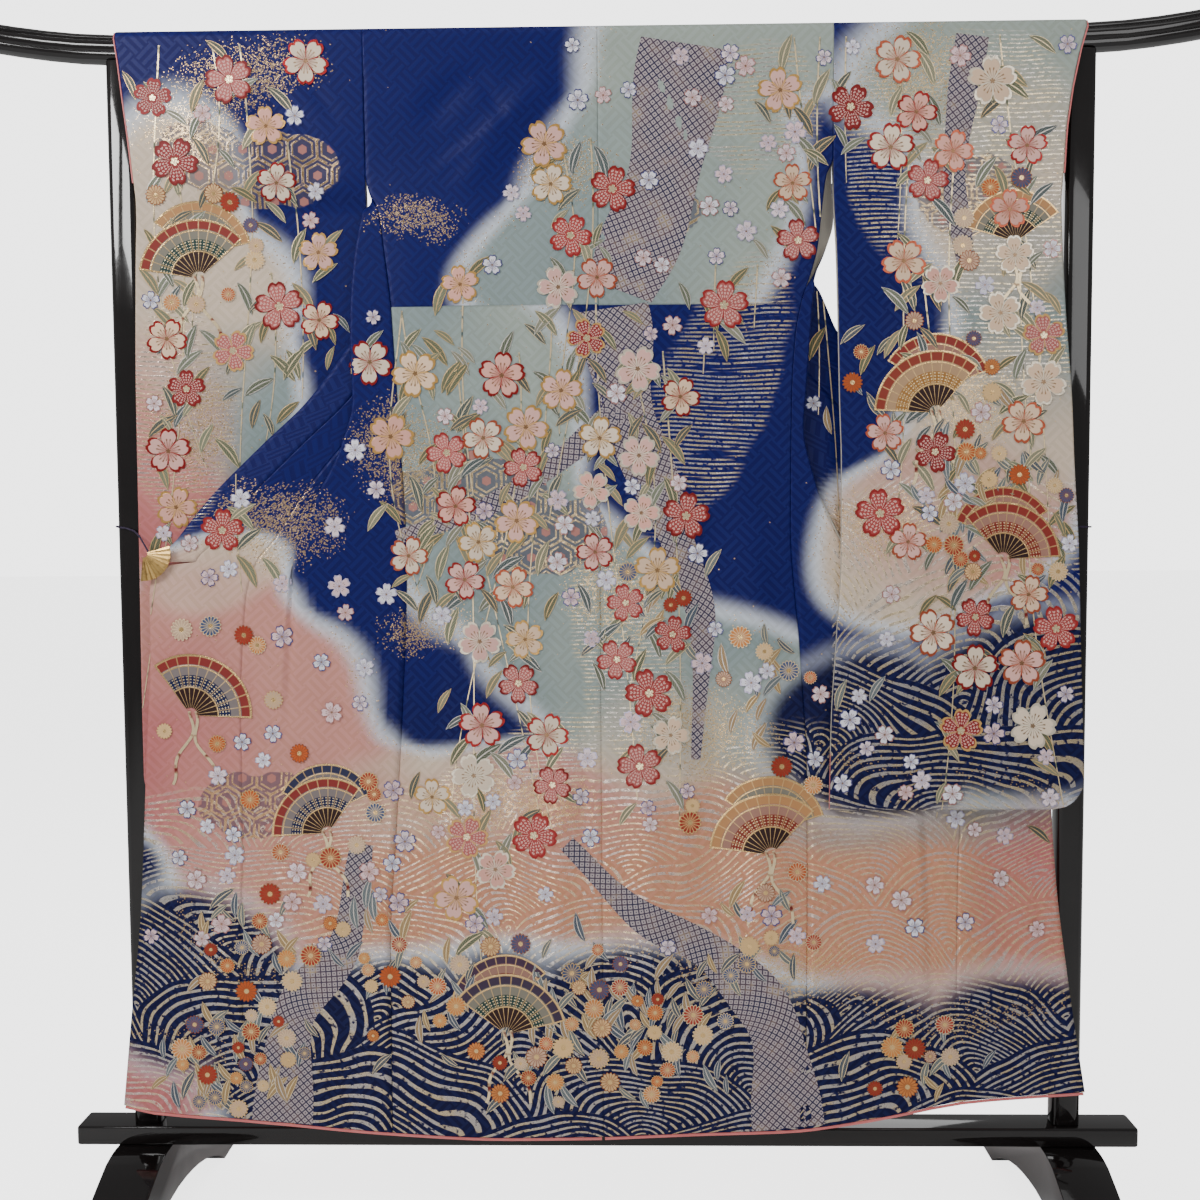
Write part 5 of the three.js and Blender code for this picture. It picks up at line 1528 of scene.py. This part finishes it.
# Calm places, where the plain figured blue is left to show: x, z, half width, half height, tilt
CALM = [(-0.24, 1.58, 0.115, 0.17, 0), (-0.15, 1.70, 0.10, 0.06, 0), (0.235, 1.10, 0.10, 0.23, 8),
        (-0.42, 1.17, 0.05, 0.12, -40), (-0.26, 0.83, 0.07, 0.10, 0), (0.38, 1.44, 0.04, 0.14, 0),
        (0.10, 0.56, 0.13, 0.06, 0), (0.36, 0.60, 0.14, 0.05, 0), (-0.37, 1.60, 0.03, 0.14, 0)]
print("calm places:", len(CALM))


# %% Room for a motif, and its tones
def calm(x, z):
    return any(oval(x, z, *place) < 1 for place in CALM)


def room(x, z, radius, share=0.86):
    """Whether nothing lies there yet and the place isn't to be kept calm."""
    return not calm(x, z) and all(math.hypot(x - a, z - b) > (radius + r) * share
                                  for a, b, r in taken)


def tone(colours):
    """One of the colours, a little lighter or darker."""
    shift = rng.uniform(-TONE_SHIFT, TONE_SHIFT)
    return tuple(min(max(c * (1 + shift * 2), 0), 1) for c in rng.choice(colours))


def plant(sheet, x, z, size, side, lift, fills, lines, share, turn=None, luck=1):
    """Puts a motif down if there is room for it, in colours from the two lists."""
    if not room(x, z, size / 2, share) or (luck < 1 and rng.random() >= luck):
        return
    turn = rng.uniform(0, 6) if turn is None else turn
    if sheet.put(x, z, turn, size, side, LIFT[lift], tone(fills), tone(lines)):
        taken.append((x, z, size / 2))


print("free above the hem's middle:", room(0, 0.3, 0.02))

# %% Boughs
boughs, twigs = Ribbons("painted_boughs"), Ribbons("painted_twigs")
BOUGHS = [  # side, points (x, z), width at the start and at the end
    (NEAR_SIDE, [(0.125, 1.745), (0.09, 1.54), (0.03, 1.385)], 0.12, 0.10),
    (NEAR_SIDE, [(0.02, 1.362), (0.04, 1.22), (0.10, 1.06), (0.145, 0.90), (0.135, 0.72)],
     0.10, 0.012),
    (NEAR_SIDE, [(0.03, 1.22), (-0.08, 1.13), (-0.19, 1.07), (-0.29, 1.04)], 0.036, 0.018),
    (NEAR_SIDE, [(0.27, 0.16), (0.25, 0.32), (0.17, 0.43), (0.05, 0.50), (-0.05, 0.60)],
     0.10, 0.022),
    (NEAR_SIDE, [(-0.47, 0.16), (-0.45, 0.34), (-0.37, 0.46), (-0.345, 0.60)], 0.085, 0.03),
    (NEAR_SIDE, [(0.525, 1.745), (0.50, 1.55), (0.515, 1.42)], 0.045, 0.025),
    (FAR_SIDE, [(-0.42, 1.745), (-0.47, 1.50), (-0.42, 1.28), (-0.46, 1.08)], 0.055, 0.010),
    (FAR_SIDE, [(0.55, 1.745), (0.50, 1.52), (0.54, 1.34)], 0.050, 0.010),
]
for side, knots, start, end in BOUGHS:
    reach = np.linspace(0, len(knots) - 1, 26 * len(knots))
    xs, zs = (curve(range(len(knots)), values)(reach) for values in zip(*knots))
    widths = np.linspace(start, end, len(reach)) * (1 + 0.10 * np.sin(reach * 5.0))
    boughs.lay(list(zip(xs, zs)), widths, side, LIFT["bough"], 8, *BOUGH_TONES)
bough_piece = boughs.finish(bough_silk)

# %% Fans with their cords
fans = Motifs("painted_fans", "fan")
leaves = Motifs("painted_leaves", "leaf")
daisies = Motifs("painted_chrysanthemums", "daisy")
FANS = [(NEAR_SIDE, -0.585, 1.455, 0.3, 0.115), (NEAR_SIDE, -0.565, 0.83, -0.5, 0.12),
        (NEAR_SIDE, -0.415, 0.655, 0.5, 0.11), (NEAR_SIDE, -0.13, 0.37, -0.2, 0.12),
        (NEAR_SIDE, 0.225, 0.63, 0.35, 0.12), (NEAR_SIDE, 0.60, 1.46, -0.35, 0.11),
        (NEAR_SIDE, 0.455, 1.255, 0.4, 0.12), (NEAR_SIDE, 0.585, 1.045, -0.4, 0.11),
        (FAR_SIDE, -0.50, 1.20, 0.3, 0.12), (FAR_SIDE, 0.50, 1.25, -0.3, 0.12)]
for side, x, z, turn, size in FANS:
    lean, size = 0.5 if turn < 0 else -0.5, size * 1.18
    fans.put(x - 0.32 * size * lean, z + 0.22 * size, turn + lean, size * 0.9, side,
             LIFT["fan behind"], rng.choice(FAN_FILLS), rng.choice(FAN_LINES))
    if fans.put(x, z, turn, size, side, LIFT["fan"], rng.choice(FAN_FILLS), rng.choice(FAN_LINES)):
        taken.append((x, z + 0.01, size * 0.56))
    pivot = (x + 0.30 * size * math.sin(turn) * -side, z - 0.30 * size * math.cos(turn))
    for k in (-1, 1):
        cord = [(pivot[0] + k * size * (0.10 * t + 0.16 * t * t) + 0.006 * math.sin(9 * t + k),
                 pivot[1] - size * 0.75 * t) for t in np.linspace(0, 1, 22)]
        twigs.lay(cord, [CORD_WIDTH] * len(cord), side, LIFT["cord"], 1, CORD_RED, GOLD)
    for k in range(12 if side == NEAR_SIDE else 0):
        angle = rng.uniform(0, math.tau)
        px, pz = x + size * 0.70 * math.cos(angle), z + size * 0.60 * math.sin(angle)
        plant(daisies, px, pz, rng.uniform(0.022, 0.034), side, "beside fan",
              DAISY_FILLS, DAISY_LINES, 0.7, turn=angle)
fan_piece = fans.finish(fan_silk)

# %% A twig with its blossoms and leaves
blossoms = Motifs("painted_blossoms", "cherry")
dotted = Motifs("tie_dyed_blossoms", "cherry")
whites = Motifs("small_blossoms", "small")
TWIGS, TWIG_STEP, TWIG_WIDTH, TWIG_THINS = 34, 0.008, 0.0022, 0.001
SMALL_TRIES, CLUMP_DAISIES, CLUMP_LEAVES = 900, 16, 14


def twig(x, z, length, side):
    """A hanging twig from its top, with blossoms and leaves strung along it."""
    sway, phase, lean = rng.uniform(0.01, 0.03), rng.uniform(0, 6), rng.uniform(-0.08, 0.08)
    count = max(int(length / TWIG_STEP), 4)
    line = []
    for k in range(count + 1):
        t = k / count
        spot = (x + sway * math.sin(t * 4 + phase) + lean * t * t, z - length * t)
        if calm(*spot):
            break
        line.append(spot)
    count = len(line) - 1
    if count < 4:
        return
    length = line[0][1] - line[-1][1]
    widths = [TWIG_WIDTH - TWIG_THINS * k / count for k in range(count + 1)]
    twigs.lay(line, widths, side, LIFT["twig"], 1, tone(LEAF_FILLS), PALE_GOLD)
    at = rng.uniform(0.01, 0.04)
    while at < length:
        px, pz = line[min(int(at / length * count), count)]
        px += rng.uniform(-0.03, 0.03)
        kind = rng.random()
        size = rng.uniform(0.056, 0.074)
        if kind < 0.78 and room(px, pz, size / 2):
            turn = rng.uniform(0, 6)
            if kind < 0.50:
                edge = BLOSSOM_LINES[rng.randrange(4)]
                done = blossoms.put(px, pz, turn, size, side, LIFT["blossom"],
                                    tone(BLOSSOM_FILLS), edge)
            else:
                done = dotted.put(px, pz, turn, size, side, LIFT["blossom"], tone(DOTTED_FILLS),
                                  tone(DOTTED_LINES))
            if done:
                taken.append((px, pz, size / 2))
        for _ in range(rng.choice([1, 1, 2])):
            lx, lz = px + rng.uniform(-0.03, 0.03), pz + rng.uniform(-0.04, 0.04)
            if not calm(lx, lz) or rng.random() < 0.15:
                leaves.put(lx, lz, rng.choice([-1, 1]) * rng.uniform(0.5, 1.3),
                           rng.uniform(0.035, 0.058), side, LIFT["leaf"], tone(LEAF_FILLS),
                           rng.choice([PALE_GOLD, GOLD, SILVER]))
        at += rng.uniform(0.030, 0.055)


print("twigs on each side:", TWIGS)

# %% Twigs, small blossoms and clumps on both sides
for side in (NEAR_SIDE, FAR_SIDE):
    if side == FAR_SIDE:
        taken = []
    for k in range(TWIGS):
        x = -0.66 + 1.32 * (k + rng.uniform(0.2, 0.8)) / TWIGS
        top = rng.choice([1.735, 1.735, 1.60, 1.42, 1.30])
        if oval(x, top - 0.12, *CALM[0]) < 1.1 or oval(x, top - 0.02, *CALM[1]) < 1.2:
            top = 1.36
        twig(x, top, rng.uniform(0.35, 0.95), side)
    for _ in range(SMALL_TRIES):
        x, z = rng.uniform(-0.68, 0.68), rng.uniform(0.45, 1.73)
        plant(whites, x, z, rng.uniform(0.024, 0.036), side, "small", WHITE_FILLS, WHITE_LINES,
              0.9, luck=0.55)
    clumps = [(rng.uniform(-0.62, 0.62), rng.uniform(0.24, 0.50)) for _ in range(14)]
    clumps += [(rng.uniform(0.37, 0.62), rng.uniform(1.0, 1.22)) for _ in range(5)]
    clumps += [(rng.uniform(0.05, 0.28), rng.uniform(0.80, 0.95)) for _ in range(2)]
    for cx, cz in clumps:
        for _ in range(CLUMP_DAISIES):
            x, z = cx + rng.gauss(0, 0.040), cz + rng.gauss(0, 0.034)
            plant(daisies, x, z, rng.uniform(0.018, 0.034), side, "clump", DAISY_FILLS,
                  DAISY_LINES, 0.85)
        for _ in range(CLUMP_LEAVES):
            x, z = cx + rng.gauss(0, 0.045), cz + rng.gauss(0, 0.045)
            leaves.put(x, z, rng.uniform(0.6, 2.5), rng.uniform(0.030, 0.050), side, LIFT["leaf"],
                       rng.choice(GROUND_LEAVES), rng.choice([PALE_GOLD, SILVER]))

motif_pieces = [bough_piece, fan_piece, twigs.finish(twig_silk), leaves.finish(leaf_silk),
                daisies.finish(daisy_silk), blossoms.finish(blossom_silk),
                dotted.finish(dotted_silk), whites.finish(blossom_silk)]
print("pieces laid on the silk:", len(motif_pieces))

# %% [markdown]
# ## Clips and cords
# A small gilt fan grips the left front edge, and a plain clip the right one behind the sleeve.
# Thin cords tie both to the posts. These solids already have the right form, so they stay and
# only get their finish: worn gilding for the clips, and for the cords a twisted silk whose colour
# is painted darker in the grooves of its twist, as shade.

# %% Gilt and cord
LEAF_GOLD, RUBBED_GOLD = (0.72, 0.47, 0.17), (0.42, 0.25, 0.09)
CORD_TONES_WITH_GROOVE_SHADE = ((0.015, 0.008, 0.030), (0.050, 0.030, 0.080))
gilt, n = new_material("worn gilding")
wear, _ = n.noise(n.place(), 140.0, 4.0)
rub, _ = n.noise(n.place(), 40.0, 2.0)
n.shade(n.blend(n.step(wear, 0.45, 0.75), LEAF_GOLD, RUBBED_GOLD), n.plus(0.20, n.times(rub, 0.22)),
        {"Metallic": 1.0})
n.bump(wear, 0.15, 0.0006)

cord_silk, n = new_material("twisted dark cord")
twist = n.math("SINE", n.times(n.plus(*list(n.split(n.place()))), 3600.0))
# The cord's colour follows the twist: darker in its grooves and lighter on its ridges, a painted
# shade.
n.shade(n.blend(n.step(twist, -1.0, 1.0), *CORD_TONES_WITH_GROOVE_SHADE), n.plus(0.6, n.times(twist, 0.1)))
n.bump(twist, 0.6, 0.0006)

FINISHES = {gilt: ["clip_fan", "clip_jaw_left", "clip_jaw_right"],
            cord_silk: ["clip_cord_left", "clip_cord_right"],
            edging: ["hem_edge_left", "hem_edge_right", "cuff_edge_left", "cuff_edge_right"]}
for material, nodes in FINISHES.items():
    for node in nodes:
        mesh = frame["nodes"][node].data
        mesh.materials.clear()
        mesh.materials.append(material)
print("finished as they are:", sum(len(nodes) for nodes in FINISHES.values()))

# %% [markdown]
# ## What each piece is
# Every new piece rides on the part's one body and stands for the solid it covers. The table
# below also lists a slot for each piece of silk and the size it was cut to before it was hung, but
# nothing here uses them.

# %% Riding and replacing
for side, name in NAMES.items():
    for ob, node, slot, flat, area in (
        (backs[side], f"back_{name}", "silk", (0.331, 1.60), None),
        (fronts[side], f"front_{name}", "silk", (0.246, 1.60), None),
        (overlaps[side], f"okumi_{name}", "overlap", (0.176, 1.33), 0.15),
        (sleeves[side], f"sleeve_{name}", "sleeve", (0.350, 2.228), None),
    ):
        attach(ob, "root")
        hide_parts(node)
        edges = [f"hem_edge_{name}"] if node.startswith("back") else []
        edges = [f"cuff_edge_{name}"] if node.startswith("sleeve") else edges
        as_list(edges)
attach(collar, "root")
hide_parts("collar")
print("sheets declared:", len(garment))
